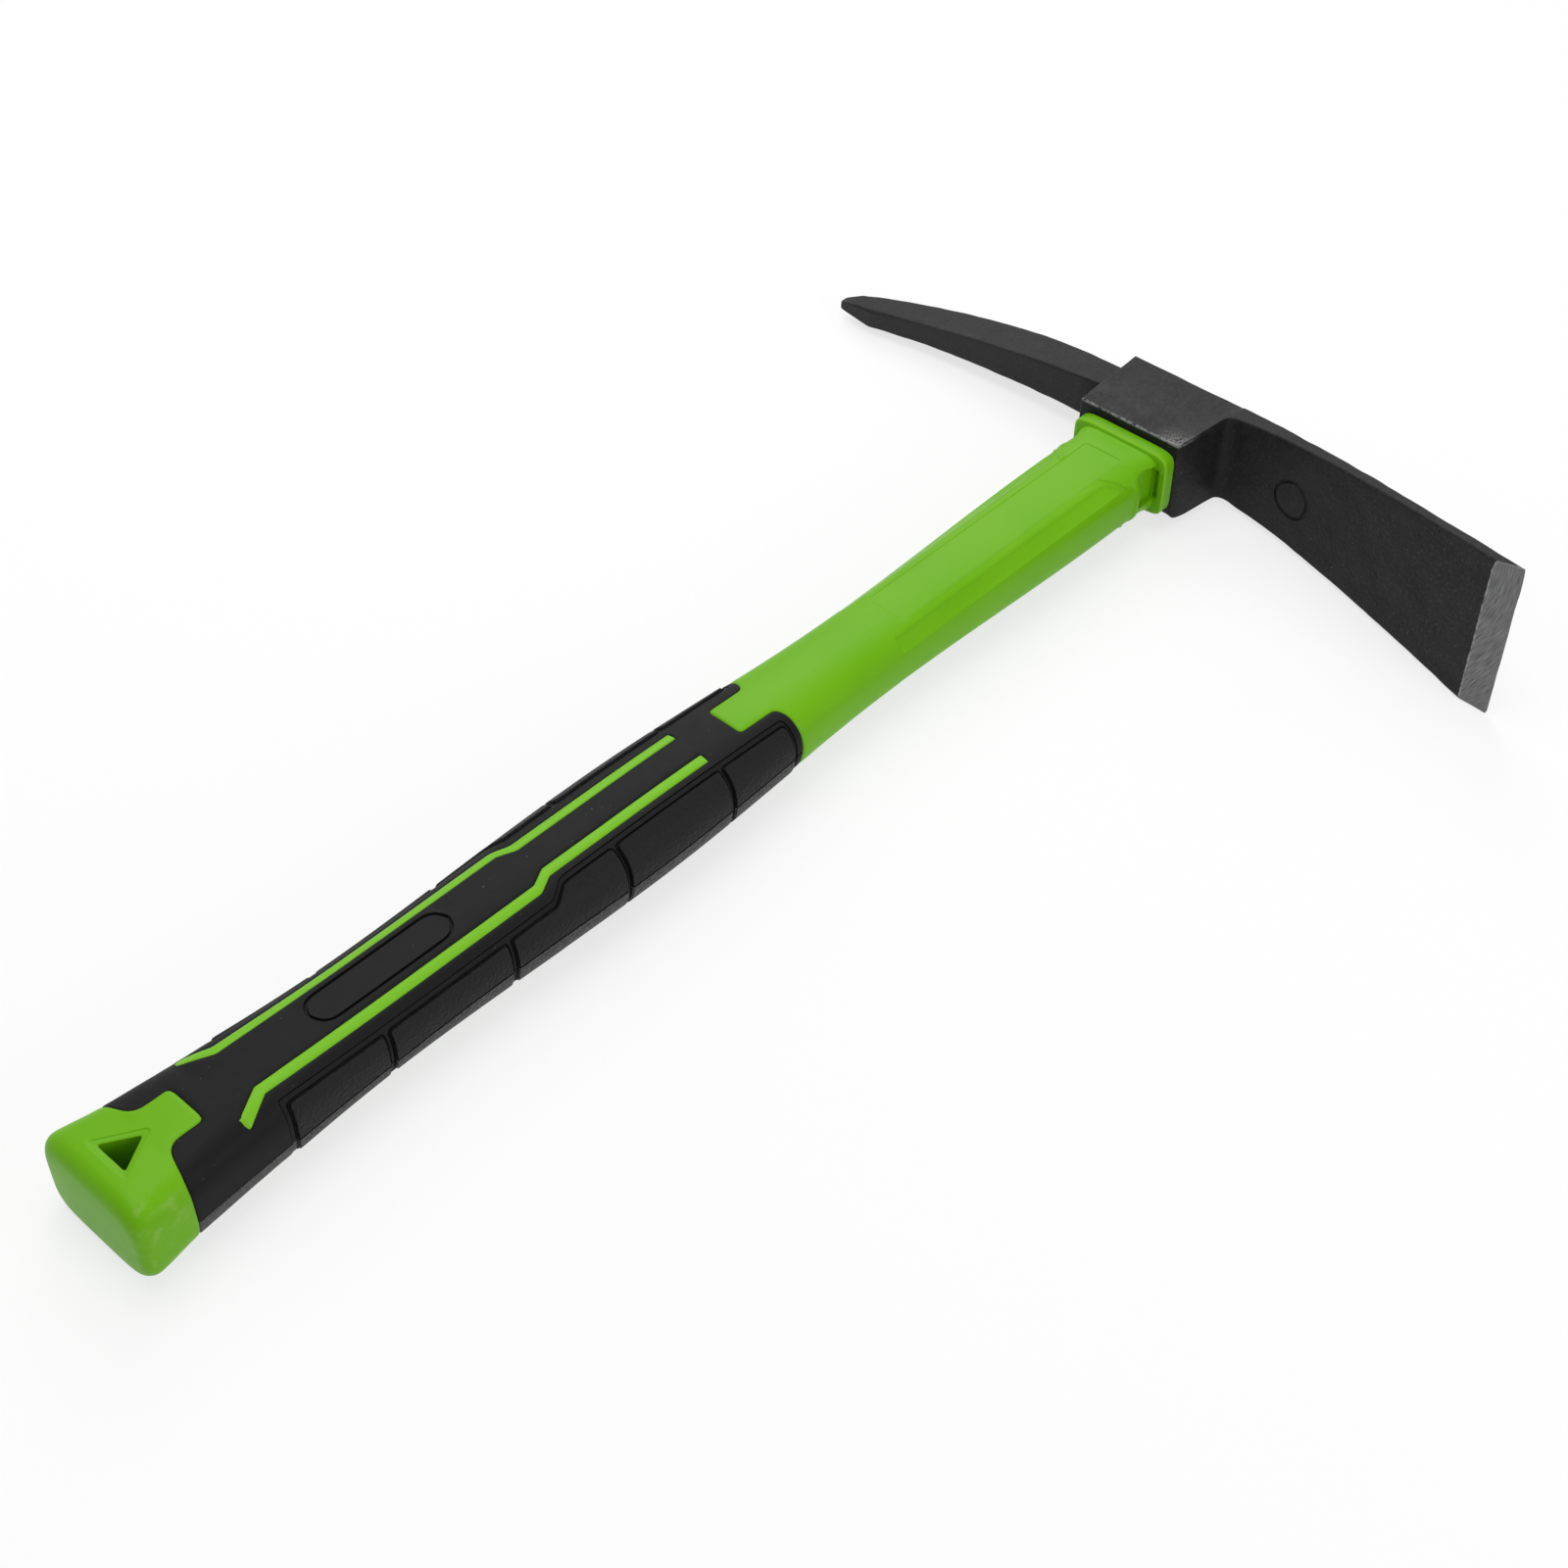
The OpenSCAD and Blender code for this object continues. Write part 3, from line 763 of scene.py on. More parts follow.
def pick_sections():
    """Cross sections from the tip to the eye, as section_ring takes them."""
    sections = []
    for scale, back in TIP_ROUNDING:
        y = PICK_REACH - back
        reach = TIP_H / 2 * scale
        sections.append(((TIP_X + reach, y), (TIP_X - reach, y), TIP_W / 2 * scale, TIP_CORNER, TIP_CORNER))
    first = sections[-1]
    for share in POINT_SHARES:
        sections.append((np.add(first[0], np.subtract(PICK_OUTER[2], first[0]) * share),
                         np.add(first[1], np.subtract(PICK_INNER[2], first[1]) * share),
                         first[2] + (PICK_SHOULDER_HALF - first[2]) * share ** TIP_SWELL,
                         TIP_CORNER, TIP_CORNER, PICK_BULGE * share))
    foot_x = PICK_INNER[0][0] - PICK_FILLET
    wall = wall_y(foot_x, PICK_SIDE_MORE) + PICK_FILLET
    last = curve_share_at(PICK_INNER, wall)
    steps = [1 - k / PICK_STEPS for k in range(1, PICK_STEPS + 1)]
    for share in [1, PICK_EDGE_SHARE] + steps:
        inner = curve(PICK_INNER, last + (1 - last) * share)
        sections.append((curve(PICK_OUTER, share), inner, pick_half(inner[1]),
                         PICK_CORNER, PICK_CORNER, PICK_BULGE))
    half = sections[-1][2]
    sections.append(((CROWN_X, CROWN_W / 2 - SECTION_GAP), (foot_x, wall_y(foot_x, PICK_SIDE_MORE)),
                     half + PICK_FILLET, PICK_FOOT_CORNER, PICK_FOOT_CORNER, PICK_BULGE))
    return sections


def eye_sections():
    """Cross sections of the eye from the pick's side to the blade's."""
    half = EYE_T / 2
    sections = []
    for share in EYE_SIDE_SHARES:
        inset_by = EYE_EDGE * share
        x = EYE_X + inset_by
        sections.append(((CROWN_X, CROWN_W / 2 - 2 * SECTION_GAP), (x, wall_y(x, PICK_SIDE_MORE)),
                         half - inset_by, EYE_SIDE_CORNER, EYE_SIDE_LOW_ROUND))
    for share in EYE_SHARES:
        back = EYE_EDGE if share == 1 else 0
        outer = (CROWN_X, CROWN_W / 2 * share - back)
        inner = (EYE_X, (EYE_W / 2 + PICK_SIDE_MORE * (share > 0)) * share - back)
        sections.append((outer, inner, half, EYE_CORNER, EYE_LOW_ROUND))
    return sections


def blade_sections():
    """Cross sections from the eye's blade side to the cutting edge."""
    edge = (CROWN_X - BLADE_DROP, -BLADE_REACH)
    bend_y = -CROWN_W / 2 - BEND_PLACE * (BLADE_REACH - CROWN_W / 2)
    outer_bend_x = CROWN_X - BEND_DROP * BLADE_DROP
    outer = [(CROWN_X, -ROOT_Y), (outer_bend_x, bend_y), edge]
    slope = (outer_bend_x - edge[0]) / (bend_y - edge[1])
    inner_root = (CROWN_X - BLADE_ROOT_T, -CROWN_W / 2 - BLADE_FILLET)
    inner_edge = (edge[0] + BEVEL_L * slope - BLADE_EDGE_T, edge[1] + BEVEL_L)
    bend_t = through_middle(BLADE_ROOT_T, BLADE_MID_T, BLADE_EDGE_T)
    inner = [inner_root, (outer_bend_x - bend_t, bend_y), inner_edge]
    start_x = inner_root[0] - BLADE_FILLET
    fillet = [(start_x, -wall_y(start_x)), (inner_root[0], -wall_y(inner_root[0])), inner_root]

    def outer_at(y):
        return curve(outer, curve_share_at(outer, y))

    def half_at(y):
        return np.interp(-y, [ROOT_Y, BLADE_REACH], [EYE_T / 2, BLADE_W / 2])

    sections = []
    top_y = -CROWN_W / 2
    for x, back in ((EYE_X, EYE_EDGE), (EYE_X + EYE_EDGE, 0), ((EYE_X + start_x) / 2, 0)):
        y = -wall_y(x) + back
        sections.append((outer_at(top_y + back), (x, y), half_at(y), EYE_CORNER, EYE_LOW_ROUND))
    for k in range(FILLET_STEPS + 1):
        point = curve(fillet, k / FILLET_STEPS)
        y = top_y + (inner_root[1] - top_y) * (k + 0.5) / (FILLET_STEPS + 0.5)
        sections.append((outer_at(y), point, half_at(y),
                         EYE_CORNER, FILLET_LOW_ROUND, LOW_BULGE * k / FILLET_STEPS))
    for share in [k / BLADE_STEPS for k in range(1, BLADE_STEPS)] + [BLADE_EDGE_SHARE, 1]:
        point = curve(inner, share)
        y = point[1] - OUTER_LEAD * share
        sections.append((outer_at(y), point, half_at(y),
                         EYE_CORNER, BLADE_LOW_ROUND, LOW_BULGE * (1 - share) ** LOW_BULGE_POWER))
    end = (edge[0] - EDGE_T, edge[1] + EDGE_BACK)
    for share in BEVEL_SHARES:
        point = np.add(inner_edge, np.subtract(end, inner_edge) * share)
        outer_y = inner_edge[1] - OUTER_LEAD + (edge[1] - inner_edge[1] + OUTER_LEAD) * share
        sections.append((outer_at(outer_y), point, half_at(point[1]), BEVEL_CORNER, BEVEL_CORNER))
    return sections


def section_ring(outer, inner, half, top_round, low_round, bulge=0):
    """Rounded rectangle between an outer and an inner point of the plan, of this half thickness.

    It starts on its outer face and goes over its top. bulge is how much deeper it is below.
    """
    limit = CORNER_LIMIT * min(outer[0] - inner[0], 2 * half)
    low = half + bulge
    corners = [(outer[0], half, -1, top_round), (inner[0], half, 1, top_round),
               (inner[0], -low, 1, low_round), (outer[0], -low, -1, low_round)]
    arcs = []
    for k, (x, z, inward, size) in enumerate(corners):
        r = min(size, limit)
        x += inward * r
        z -= math.copysign(r, z)
        turns = [math.pi / 2 * (k + step / CORNER_STEPS) for step in range(CORNER_STEPS + 1)]
        arcs.append([np.array((x + r * math.cos(a), z + r * math.sin(a))) for a in turns])
    flat = []
    for k, arc in enumerate(arcs):
        following = arcs[(k + 1) % 4][0]
        count = SIDE_STEPS[k]
        flat += arc + [arc[-1] + (following - arc[-1]) * step / count for step in range(1, count)]
    lean_share = (outer[1] - inner[1]) / (outer[0] - inner[0])
    return [(x, inner[1] + (x - inner[0]) * lean_share, z) for x, z in flat]


RING_PLACE, RING_TURN = (392.0, -46.1, -1.7), math.radians(10)
RING_R, RING_WIRE = 6.0, 0.65


def ring_cutter():
    """A thin ring that presses a plain round groove into the blade's inner face."""
    deselect_all()
    bpy.ops.mesh.primitive_torus_add(major_radius=RING_R * MM, minor_radius=RING_WIRE * MM,
                                     major_segments=48, minor_segments=10, location=at(*RING_PLACE),
                                     rotation=(0, math.radians(90), -RING_TURN))
    ring = start_piece("ring_cutter")
    bpy.ops.object.transform_apply(location=True, rotation=True, scale=True)
    return ring


WAVE_SIZE, WAVE_HEIGHT = 9, 0.45
HEAD_SMOOTH = math.radians(32)


def head():
    """One forging: pick, eye and blade."""
    sections = pick_sections() + eye_sections() + blade_sections()
    rings = [section_ring(*section) for section in sections]
    piece = rolled_grid("forged_head", len(rings), len(rings[0]),
                        lambda row, step: at(*rings[row][step]))
    subdivide(piece, 2)
    waves = bpy.data.textures.new("forging_waves", "CLOUDS")
    waves.noise_scale = WAVE_SIZE * MM
    waves.noise_depth = 1
    finish_with(piece, "DISPLACE", texture=waves, texture_coords="LOCAL",
                strength=WAVE_HEIGHT * MM, mid_level=0.5)
    hole = [(EYE_X - OVERRUN, OVERALL + OVERRUN), about(0, EYE_HOLE_W), about(0, EYE_HOLE_T)]
    cut(piece, rounded_box("eye_cutter", hole, along=0, corner_r=EYE_HOLE_R, segments=8))
    cut(piece, ring_cutter())
    edit(piece)
    bpy.ops.mesh.select_all(action="SELECT")
    bpy.ops.mesh.dissolve_degenerate(threshold=MERGE)
    close_edit()
    make_active(piece)
    bpy.ops.object.shade_smooth_by_angle(angle=HEAD_SMOOTH)
    return piece


forging = head()
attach(forging, "root")
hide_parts("head")


# Materials

class Field:
    """A value that varies over a surface; sums and products of fields become nodes."""

    def __init__(self, shader, socket):
        self.shader = shader
        self.socket = socket

    def math(self, operation, *others, clamp=False):
        node = self.shader.node("ShaderNodeMath", {"operation": operation, "use_clamp": clamp},
                                dict(enumerate((self,) + others)))
        return Field(self.shader, node.outputs[0])

    def __add__(self, other):
        return self.math("ADD", other)

    def __sub__(self, other):
        return self.math("SUBTRACT", other)

    def __rsub__(self, other):
        return self * -1 + other

    def __mul__(self, other):
        return self.math("MULTIPLY", other)

    __radd__ = __add__
    __rmul__ = __mul__

    def ramp(self, start, end):
        """Rises smoothly from 0 at start to 1 at end."""
        node = self.shader.node("ShaderNodeMapRange", {"interpolation_type": "SMOOTHSTEP"},
                                {0: self, 1: start, 2: end, 3: 0.0, 4: 1.0})
        return Field(self.shader, node.outputs[0])


class Nodes:
    """The node tree of a material or of the world."""

    def __init__(self, tree):
        self.tree = tree

    def node(self, kind, settings=None, sockets=None):
        """Adds a node, sets it up, then feeds its sockets with values or links."""
        node = self.tree.nodes.new(kind)
        for name, value in (settings or {}).items():
            setattr(node, name, value)
        for name, value in (sockets or {}).items():
            self.feed(node.inputs[name], value)
        return node

    def feed(self, socket, value):
        if isinstance(value, Field):
            value = value.socket
        if isinstance(value, bpy.types.NodeSocket):
            self.tree.links.new(value, socket)
        else:
            socket.default_value = value

    def shows_background(self):
        """1 for rays from the camera, in reflections and through glass."""
        path = self.node("ShaderNodeLightPath")
        shown = Field(self, path.outputs["Is Camera Ray"])
        for name in ("Is Glossy Ray", "Is Transmission Ray"):
            shown = shown.math("MAXIMUM", path.outputs[name])
        return shown

    def end_with(self, output, share, first, second):
        """Ends the tree with a mix of two shader nodes."""
        mixed = self.node("ShaderNodeMixShader", {},
                          {0: share, 1: first.outputs[0], 2: second.outputs[0]})
        self.feed(self.tree.nodes[output].inputs["Surface"], mixed.outputs[0])


class Shader(Nodes):
    """A procedural material that is built from noise over a piece's own coordinates."""

    def __init__(self, name):
        self.material = bpy.data.materials.new(name)
        self.material.use_nodes = True
        super().__init__(self.material.node_tree)
        self.surface = self.tree.nodes["Principled BSDF"]
        self.place = self.node("ShaderNodeTexCoord").outputs["Object"]

    def set(self, **values):
        """Feeds inputs of the surface, with underscores for the spaces in their names."""
        for name, value in values.items():
            self.feed(self.surface.inputs[name.replace("_", " ")], value)

    def stretched(self, along):
        """Coordinates in millimetres, squeezed along each axis by a share."""
        node = self.node("ShaderNodeVectorMath", {"operation": "MULTIPLY"},
                         {0: self.place, 1: [share / MM for share in along]})
        return node.outputs[0]

    def axis(self, name):
        """A coordinate in millimetres."""
        node = self.node("ShaderNodeSeparateXYZ", {}, {0: self.stretched((1, 1, 1))})
        return Field(self, node.outputs[name])

    def noise(self, size, detail=2.0, along=(1, 1, 1)):
        """Noise from 0 to 1 whose lumps are about size millimetres."""
        return self.noise_at(self.stretched(along), 1 / size, detail)

    def noise_at(self, place, scale, detail):
        """Noise from 0 to 1 over a vector of its own."""
        node = self.node("ShaderNodeTexNoise", {}, {"Vector": place, "Scale": scale, "Detail": detail})
        return Field(self, node.outputs[0])

    def mix(self, share, first, second):
        """Colour between two colours."""
        node = self.node("ShaderNodeMix", {"data_type": "RGBA"}, {0: share, 6: first, 7: second})
        return Field(self, node.outputs[2])

    def bump(self, height, depth):
        """Bends the surface's normal by a height field of this many millimetres."""
        node = self.node("ShaderNodeBump", {}, {"Height": height, "Distance": depth * MM, "Strength": 1.0})
        self.set(Normal=node.outputs[0])


def grey(value):
    return value, value, value, 1


WHITE = grey(1)
GREEN = (0.135, 0.4, 0.002, 1)
PALE_GREEN = (0.15, 0.415, 0.004, 1)
STRIPE_GREEN = (0.175, 0.48, 0.016, 1)
COLLAR_HIGHLIGHT_GREEN = (0.26, 0.58, 0.03, 1)
RUBBED_GREEN = (0.36, 0.5, 0.16, 1)
SOFT_BLACK = (0.005, 0.005, 0.0055, 1)
TABLE_SHEEN_BLACK = grey(0.09)
PAD_SHEEN_BLACK = grey(0.075)
LINT = grey(0.2)
PAINT = (0.008, 0.008, 0.0085, 1)
PALE_PAINT = (0.018, 0.018, 0.0185, 1)
PICK_SIDE_LIT_BLACK = grey(0.032)
DUST = grey(0.045)
FLECK = (0.16, 0.15, 0.14, 1)
SCUFF = (0.24, 0.235, 0.23, 1)
STEEL = (0.085, 0.085, 0.087, 1)
PALE_STEEL = (0.24, 0.24, 0.245, 1)
BRIGHT_STEEL = (0.34, 0.34, 0.345, 1)
GLASS_FIBRE = (0.55, 0.52, 0.42, 1)
PALE_FIBRE = (0.8, 0.78, 0.68, 1)
RESIN = (0.16, 0.08, 0.02, 1)
PALE_RESIN = (0.26, 0.14, 0.05, 1)
TABLE_WHITE = grey(0.92)

# Stretches over which a finish, or a painted highlight or reflection, fades in
BUTT_RUB_X, BUTT_RUB_Y = (20, 14), (-11, -16)
COLLAR_PALE_IN, COLLAR_PALE_OUT = (COLLAR_X, COLLAR_X + 0.2), (COLLAR_X + 0.75, COLLAR_X + 0.5)
END_PALE_IN = (EYE_X - 0.7, EYE_X - 0.4)
SHEEN_BAND_Z = (-11, -6)
BUTT_SHEEN_X = (RISE_START + 1, RISE_START)
DUST_X, DUST_Z = (EYE_X + 24, EYE_X + 3), (EYE_T / 2 - 0.8, EYE_T / 2 - 0.3)
DUST_BLADE_Y, EYE_BLADE_Y, EYE_PICK_Y = (-24, -16), (-24, -20), (24, 20)
PICK_SIDE_DROP, PICK_SIDE_Y = (0.3, 1.3), (24, 34)
PITTED_Y = (-45, -105)
EYE_RIM = (0.9, 0.5)
SCUFF_X, SCUFF_Z = (EYE_X + 9, EYE_X + 1), (EYE_T / 2 - 0.9, EYE_T / 2 - 0.3)
SCUFF_IN_Y, SCUFF_OUT_Y = (-5, -17), (-22, -20)
GROUND_IN, GROUND_DEPTH = (-0.1, 0.2), (0.75, 0.45)
GROUND_CORNER, GROUND_CORNER_Z = 0.9, (21, 27)
LIP_IN, LIP_OUT = (-0.1, 0.1), (0.8, 0.35)

# How the ground face leans in plan, and the way that its grain runs, bends and is stretched
GROUND_ACROSS, GROUND_ALONG = 0.993, 0.122
GRAIN_LEAN, GRAIN_BEND = 0.5, 0.0114
GRAIN_LONG, GRAIN_FINE = 0.2, 4.6


def green_plastic():
    """Smooth green, paler on the stripes, with a painted highlight on the collar's edges, rubbed at the
    butt's near side.
    """
    shader = Shader("green_plastic")
    cloud = shader.noise(30)
    green = shader.mix(cloud.ramp(0.3, 0.7), GREEN, PALE_GREEN)
    x, y = shader.axis("X") - ORIGIN.x, shader.axis("Y") - ORIGIN.y
    rub_and_sheen = shader.noise(3.0, 3.0).ramp(0.5, 0.75) * x.ramp(*BUTT_RUB_X) * y.ramp(*BUTT_RUB_Y)
    stripe = x.ramp(TAB_END, FOOT_END) * x.ramp(TONGUE_END, STRIPE_END)
    green = shader.mix(stripe, green, STRIPE_GREEN)
    # Painted highlight: a paler green on the collar's front edge and on its end beside the eye, where light
    # catches the edges
    edges = x.ramp(*COLLAR_PALE_IN) * x.ramp(*COLLAR_PALE_OUT)
    edges = edges + x.ramp(*END_PALE_IN)
    green = shader.mix(edges * 0.6, green, COLLAR_HIGHLIGHT_GREEN)
    shader.set(Base_Color=shader.mix(rub_and_sheen * 0.27, green, RUBBED_GREEN))
    shader.set(Roughness=0.36 + 0.1 * shader.noise(4), Specular_IOR_Level=0.13)
    shader.bump(shader.noise(1.2), 0.01)
    return shader.material


PARTING_FADE = 0.3


def below_parting(x, z):
    """Share of the black below the mould's parting line."""
    return (z - PARTING_RISE * x.ramp(RISE_START, RISE_END)).ramp(PARTING_Z, PARTING_Z - PARTING_FADE)


def soft_black():
    """Matt black with a little lint, and a painted reflection of the table that makes it grey below the
    parting line beside the butt.
    """
    shader = Shader("soft_black")
    speck = shader.noise(0.9, 0.0).ramp(0.84, 0.86)
    x, z = shader.axis("X") - ORIGIN.x, shader.axis("Z") - ORIGIN.z
    # Painted reflection of the white table: the band below the parting line beside the butt is made grey
    rub_and_sheen = below_parting(x, z) * z.ramp(*SHEEN_BAND_Z) * x.ramp(*BUTT_SHEEN_X)
    rub_and_sheen = rub_and_sheen * (0.6 + 0.4 * shader.noise(0.8, 2.0).ramp(0.4, 0.6))
    black = shader.mix(rub_and_sheen, SOFT_BLACK, TABLE_SHEEN_BLACK)
    shader.set(Base_Color=shader.mix(speck * 0.22, black, LINT))
    shader.set(Roughness=0.5 + 0.1 * shader.noise(3), Specular_IOR_Level=0.115)
    shader.bump(shader.noise(0.7), 0.02)
    return shader.material


def pad_black():
    """Grained black, with a rougher grain below the parting line, where a painted reflection of the table
    also makes it greyer.
    """
    shader = Shader("soft_black_grain")
    x, z = shader.axis("X") - ORIGIN.x, shader.axis("Z") - ORIGIN.z
    low = below_parting(x, z)
    # Painted reflection of the white table: the pads are made greyer below the parting line, where their
    # grain is also rougher
    pad_sheen = low * z.ramp(*SHEEN_BAND_Z)
    pad_sheen = pad_sheen * (0.4 + 0.6 * shader.noise(0.8, 2.0).ramp(0.4, 0.62))
    shader.set(Base_Color=shader.mix(pad_sheen, SOFT_BLACK, PAD_SHEEN_BLACK))
    shader.set(Roughness=0.45 + 0.15 * shader.noise(0.8), Specular_IOR_Level=0.16)
    shader.bump(shader.noise(1.0, 2.0) * (0.35 + 0.65 * low), 1.0)
    return shader.material


def black_paint():
    """Mottled black paint with painted light on the pick's sides, scuffed at the eye's edges, and bare
    steel where the cutting edge is ground.
    """
    shader = Shader("black_paint")
    x, y, z = (shader.axis(name) - offset for name, offset in zip("XYZ", ORIGIN))
    cloud = shader.noise(14, 3.0)
    fine = shader.noise(1.6, 3.0)
    speck = shader.noise(0.6, 0.0).ramp(0.81, 0.83)
    dust = z.ramp(*DUST_Z) * y.ramp(*DUST_BLADE_Y) * y.ramp(*EYE_PICK_Y)
    dust = dust * (0.4 * fine.ramp(0.4, 0.75) + 0.6 * shader.noise(6.0, 3.0).ramp(0.4, 0.65))
    dust = dust * (0.45 + 0.55 * x.ramp(*DUST_X))
    mottle = 0.6 * cloud.ramp(0.35, 0.7) + 0.4 * fine.ramp(0.35, 0.7)
    black = shader.mix(mottle, PAINT, PALE_PAINT)
    # Painted light: the pick's side faces are made lighter than the paint around them
    taper = (PICK_ROOT_HALF - PICK_SHOULDER_HALF) / (PICK_INNER[2][1] - PICK_ROOT_Y)
    pick_side = (PICK_ROOT_HALF - taper * (y - PICK_ROOT_Y) - z).ramp(*PICK_SIDE_DROP)
    pick_side = pick_side * y.ramp(*PICK_SIDE_Y)
    black = shader.mix(pick_side * 0.8, black, PICK_SIDE_LIT_BLACK)
    pitted = shader.noise(0.9, 2.0).ramp(0.56, 0.72) * y.ramp(*PITTED_Y)
    black = shader.mix(pitted * 0.6, black, DUST)
    dusty = shader.mix(dust * 0.6, black, DUST)
    painted = shader.mix(speck * 0.35, dusty, FLECK)

    rim = (x - EYE_X - z + EYE_T / 2).ramp(*EYE_RIM) * y.ramp(*EYE_BLADE_Y) * y.ramp(*EYE_PICK_Y)
    scuff = x.ramp(*SCUFF_X) * y.ramp(*SCUFF_IN_Y) * y.ramp(*SCUFF_OUT_Y)
    scuff = scuff * z.ramp(*SCUFF_Z)
    rim = rim * shader.noise(0.8, 3.0).ramp(0.3, 0.55)
    scuff = scuff * shader.noise(0.5, 2.0).ramp(0.4, 0.58)
    worn = (rim + scuff).math("MINIMUM", 1.0)

    edge_x, edge_y = CROWN_X - BLADE_DROP, -BLADE_REACH
    ragged = 0.35 * shader.noise(3.0) + 0.4 * shader.noise(0.8) - 0.38
    beyond = (edge_y + BEVEL_L) - y + ragged - GROUND_CORNER * z.ramp(*GROUND_CORNER_Z)
    depth = GROUND_ACROSS * (x - (edge_x - EDGE_T)) + GROUND_ALONG * (y - edge_y)
    bare = beyond.ramp(*GROUND_IN) * depth.ramp(*GROUND_DEPTH)
    upper = z.math("MAXIMUM", 0.0)
    across = y + GRAIN_LEAN * z - GRAIN_BEND * upper * upper
    grain_place = shader.node("ShaderNodeCombineXYZ", {}, {0: z * GRAIN_LONG, 1: across * GRAIN_FINE})
    grain = shader.noise_at(grain_place.outputs[0], 1.0, 3.0)
    steel = shader.mix(grain.ramp(0.28, 0.72), STEEL, PALE_STEEL)
    lip = beyond.ramp(*LIP_IN) * beyond.ramp(*LIP_OUT) * fine.ramp(0.35, 0.6)
    steel = shader.mix(lip * 0.7, steel, BRIGHT_STEEL)
    metal = (bare + 0.5 * worn).math("MINIMUM", 1.0)
    scuffed = shader.mix(worn * 0.8, painted, SCUFF)
    shader.set(Base_Color=shader.mix(bare, scuffed, steel))
    shader.set(Metallic=0.35 * metal, Specular_IOR_Level=0.15)
    shader.set(Roughness=0.42 + 0.2 * cloud - 0.06 * metal)
    height = (1 - bare) * (shader.noise(1.1, 3.0) + 0.8 * shader.noise(4.0)) + bare * grain * 0.4
    shader.bump(height, 0.18)
    return shader.material


def fibreglass():
    """Pale glass fibre, hidden in the handle."""
    shader = Shader("fibreglass")
    fibre = shader.noise(0.5, 2.0)
    shader.set(Base_Color=shader.mix(fibre.ramp(0.3, 0.7), GLASS_FIBRE, PALE_FIBRE))
    shader.set(Roughness=0.6)
    return shader.material


def resin():
    """Amber resin, hidden in the eye."""
    shader = Shader("bonding_resin")
    shader.set(Base_Color=shader.mix(shader.noise(5), RESIN, PALE_RESIN))
    shader.set(Roughness=0.25)
    return shader.material


def paint_with(piece, *materials):
    piece.data.materials.clear()
    for material in materials:
        piece.data.materials.append(material)


paint_with(sleeve, green_plastic())
paint_with(grip, soft_black(), pad_black())
pad_zone = ZONES.index("pad")
for face in grip.data.polygons:
    face.material_index = int(grip.data.attributes["zone"].data[face.index].value == pad_zone)
paint_with(forging, black_paint())
paint_with(bpy.data.objects["core_rod"], fibreglass())
paint_with(bpy.data.objects["eye_resin"], resin())


# Table: a plane under the three points on which the tool comes to rest. Its size and the stretch over
# which its shadow fades out are in metres.

TABLE_SIZE, TABLE_FADE, TABLE_GLOW = 6, (0.4, 1.2), 0.72
CENTRE_X, TABLE_GAP = 330, 0.05


def resting_plane(pieces):
    """Point and upward normal of the flat that the tool rests on."""
    hull = bmesh.new()
    for piece in pieces:
        hull.from_mesh(piece.data)
    made = bmesh.ops.convex_hull(hull, input=hull.verts)
    faces = [f for f in made["geom"] if isinstance(f, bmesh.types.BMFace)]
    tree = BVHTree.FromPolygons([v.co.copy() for v in hull.verts],
                                [[v.index for v in f.verts] for f in faces])
    place, normal = tree.ray_cast(at(CENTRE_X, 0, 0), Vector((0, 0, -1)))[:2]
    hull.free()
    return place, normal if normal.z > 0 else -normal


def floor_material():
    """White where it is seen, with the tool's soft shadow on it."""
    shader = Shader("white_table")
    shader.set(Base_Color=TABLE_WHITE, Roughness=1.0, Specular_IOR_Level=0.0)
    away = shader.node("ShaderNodeVectorMath", {"operation": "LENGTH"}, {0: shader.place})
    far = Field(shader, away.outputs["Value"]).ramp(*TABLE_FADE)
    share = TABLE_GLOW + (1 - TABLE_GLOW) * far
    glow = shader.node("ShaderNodeEmission", {}, {"Color": WHITE, "Strength": 1.0})
    shader.end_with("Material Output", shader.shows_background() * share, shader.surface, glow)
    return shader.material


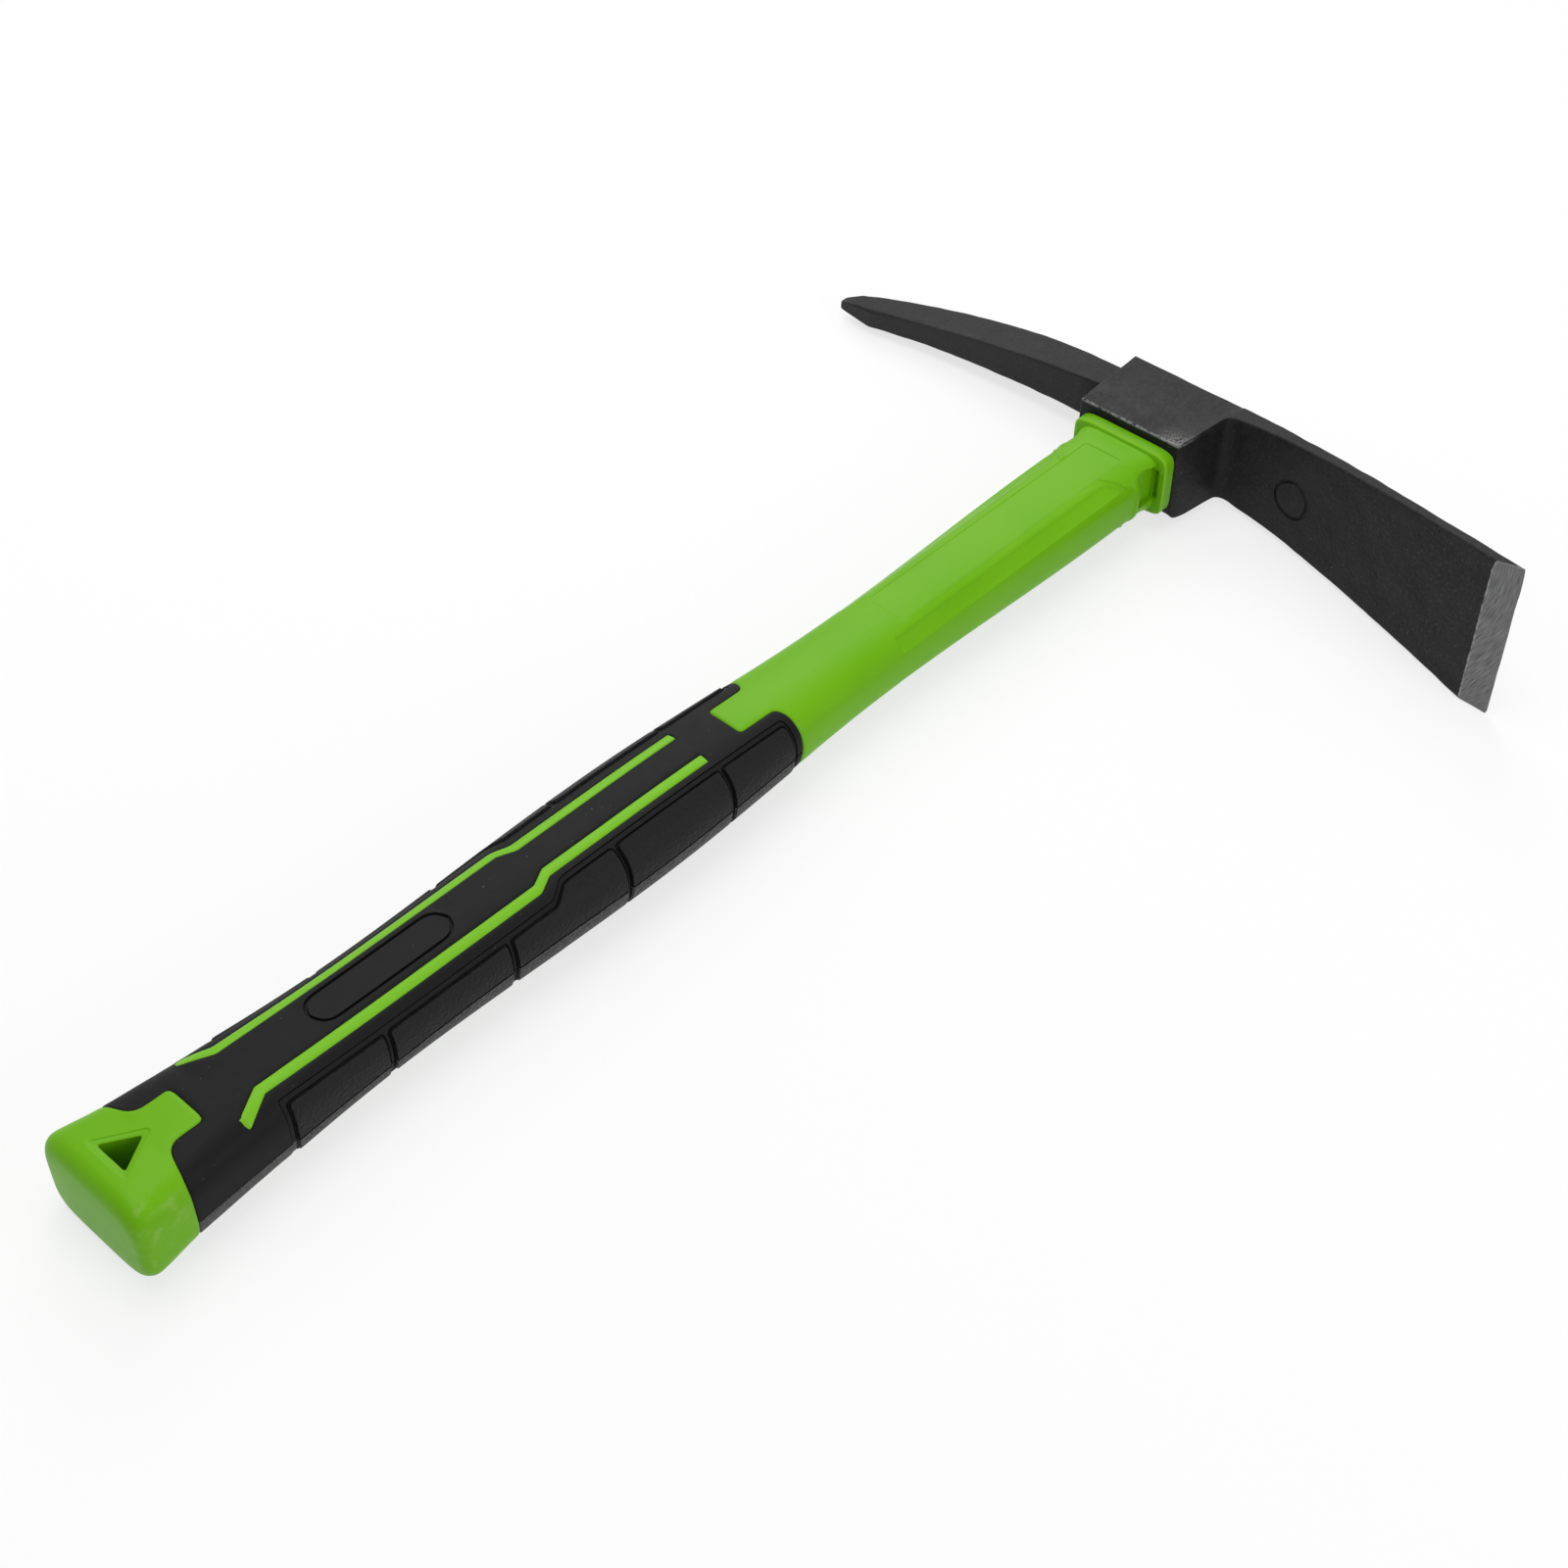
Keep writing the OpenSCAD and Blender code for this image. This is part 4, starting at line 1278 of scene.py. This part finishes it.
rest_point, rest_normal = resting_plane([sleeve, grip, forging])
deselect_all()
bpy.ops.mesh.primitive_plane_add(size=TABLE_SIZE)
floor = start_piece("table")
floor_turn = rest_normal.to_track_quat("Z", "Y").to_matrix()
for corner in floor.data.vertices:
    corner.co = floor_turn @ corner.co + rest_point - rest_normal * TABLE_GAP * MM
paint_with(floor, floor_material())


# Light and camera

SKY_LIGHT = 0.45
scene = bpy.context.scene
world = bpy.data.worlds.new("studio")
scene.world = world
world.use_nodes = True
sky = Nodes(world.node_tree)
lit = sky.tree.nodes["Background"]
sky.feed(lit.inputs["Color"], WHITE)
sky.feed(lit.inputs["Strength"], SKY_LIGHT)
shown = sky.node("ShaderNodeBackground", {}, {"Color": WHITE, "Strength": 1.0})
sky.end_with("World Output", sky.shows_background(), lit, shown)


# Lamps: place, target and size in metres, and power in watts
LAMPS = {
    "back": ((0.75, 0.72, 1.05), (0.05, 0, 0), 0.9, 6.5),
    "overhead": ((0.0, 0.1, 1.4), (0, 0, 0), 0.9, 7.5),
    "side": ((0.2, -1.1, 0.35), (0, 0, 0), 0.6, 3.2),
}


def softbox(name, place, target, size, power):
    """An area lamp that faces a target."""
    lamp = bpy.data.lights.new(name, "AREA")
    lamp.shape = "DISK"
    lamp.size = size
    lamp.energy = power
    holder = bpy.data.objects.new(name, lamp)
    scene.collection.objects.link(holder)
    holder.location = place
    holder.rotation_euler = (Vector(target) - Vector(place)).to_track_quat("-Z", "Y").to_euler()


for name, settings in LAMPS.items():
    softbox(name, *settings)

CAMERA_PLACE = Vector((-327.0, -316.6, 459.7)) * MM
CAMERA_RIGHT = Vector((0.67965, -0.73353, 0.00251))
CAMERA_AHEAD = Vector((0.52611, 0.48508, -0.69851))
CAMERA_LENS, SENSOR_W = 55.267, 36
camera_data = bpy.data.cameras.new("camera")
camera_data.lens = CAMERA_LENS
camera_data.sensor_width = SENSOR_W
camera = bpy.data.objects.new("camera", camera_data)
scene.collection.objects.link(camera)
camera_axes = Matrix((CAMERA_RIGHT, CAMERA_RIGHT.cross(CAMERA_AHEAD), -CAMERA_AHEAD)).transposed()
camera.matrix_world = Matrix.Translation(CAMERA_PLACE) @ camera_axes.to_4x4()
scene.camera = camera
scene.view_settings.view_transform = "Standard"
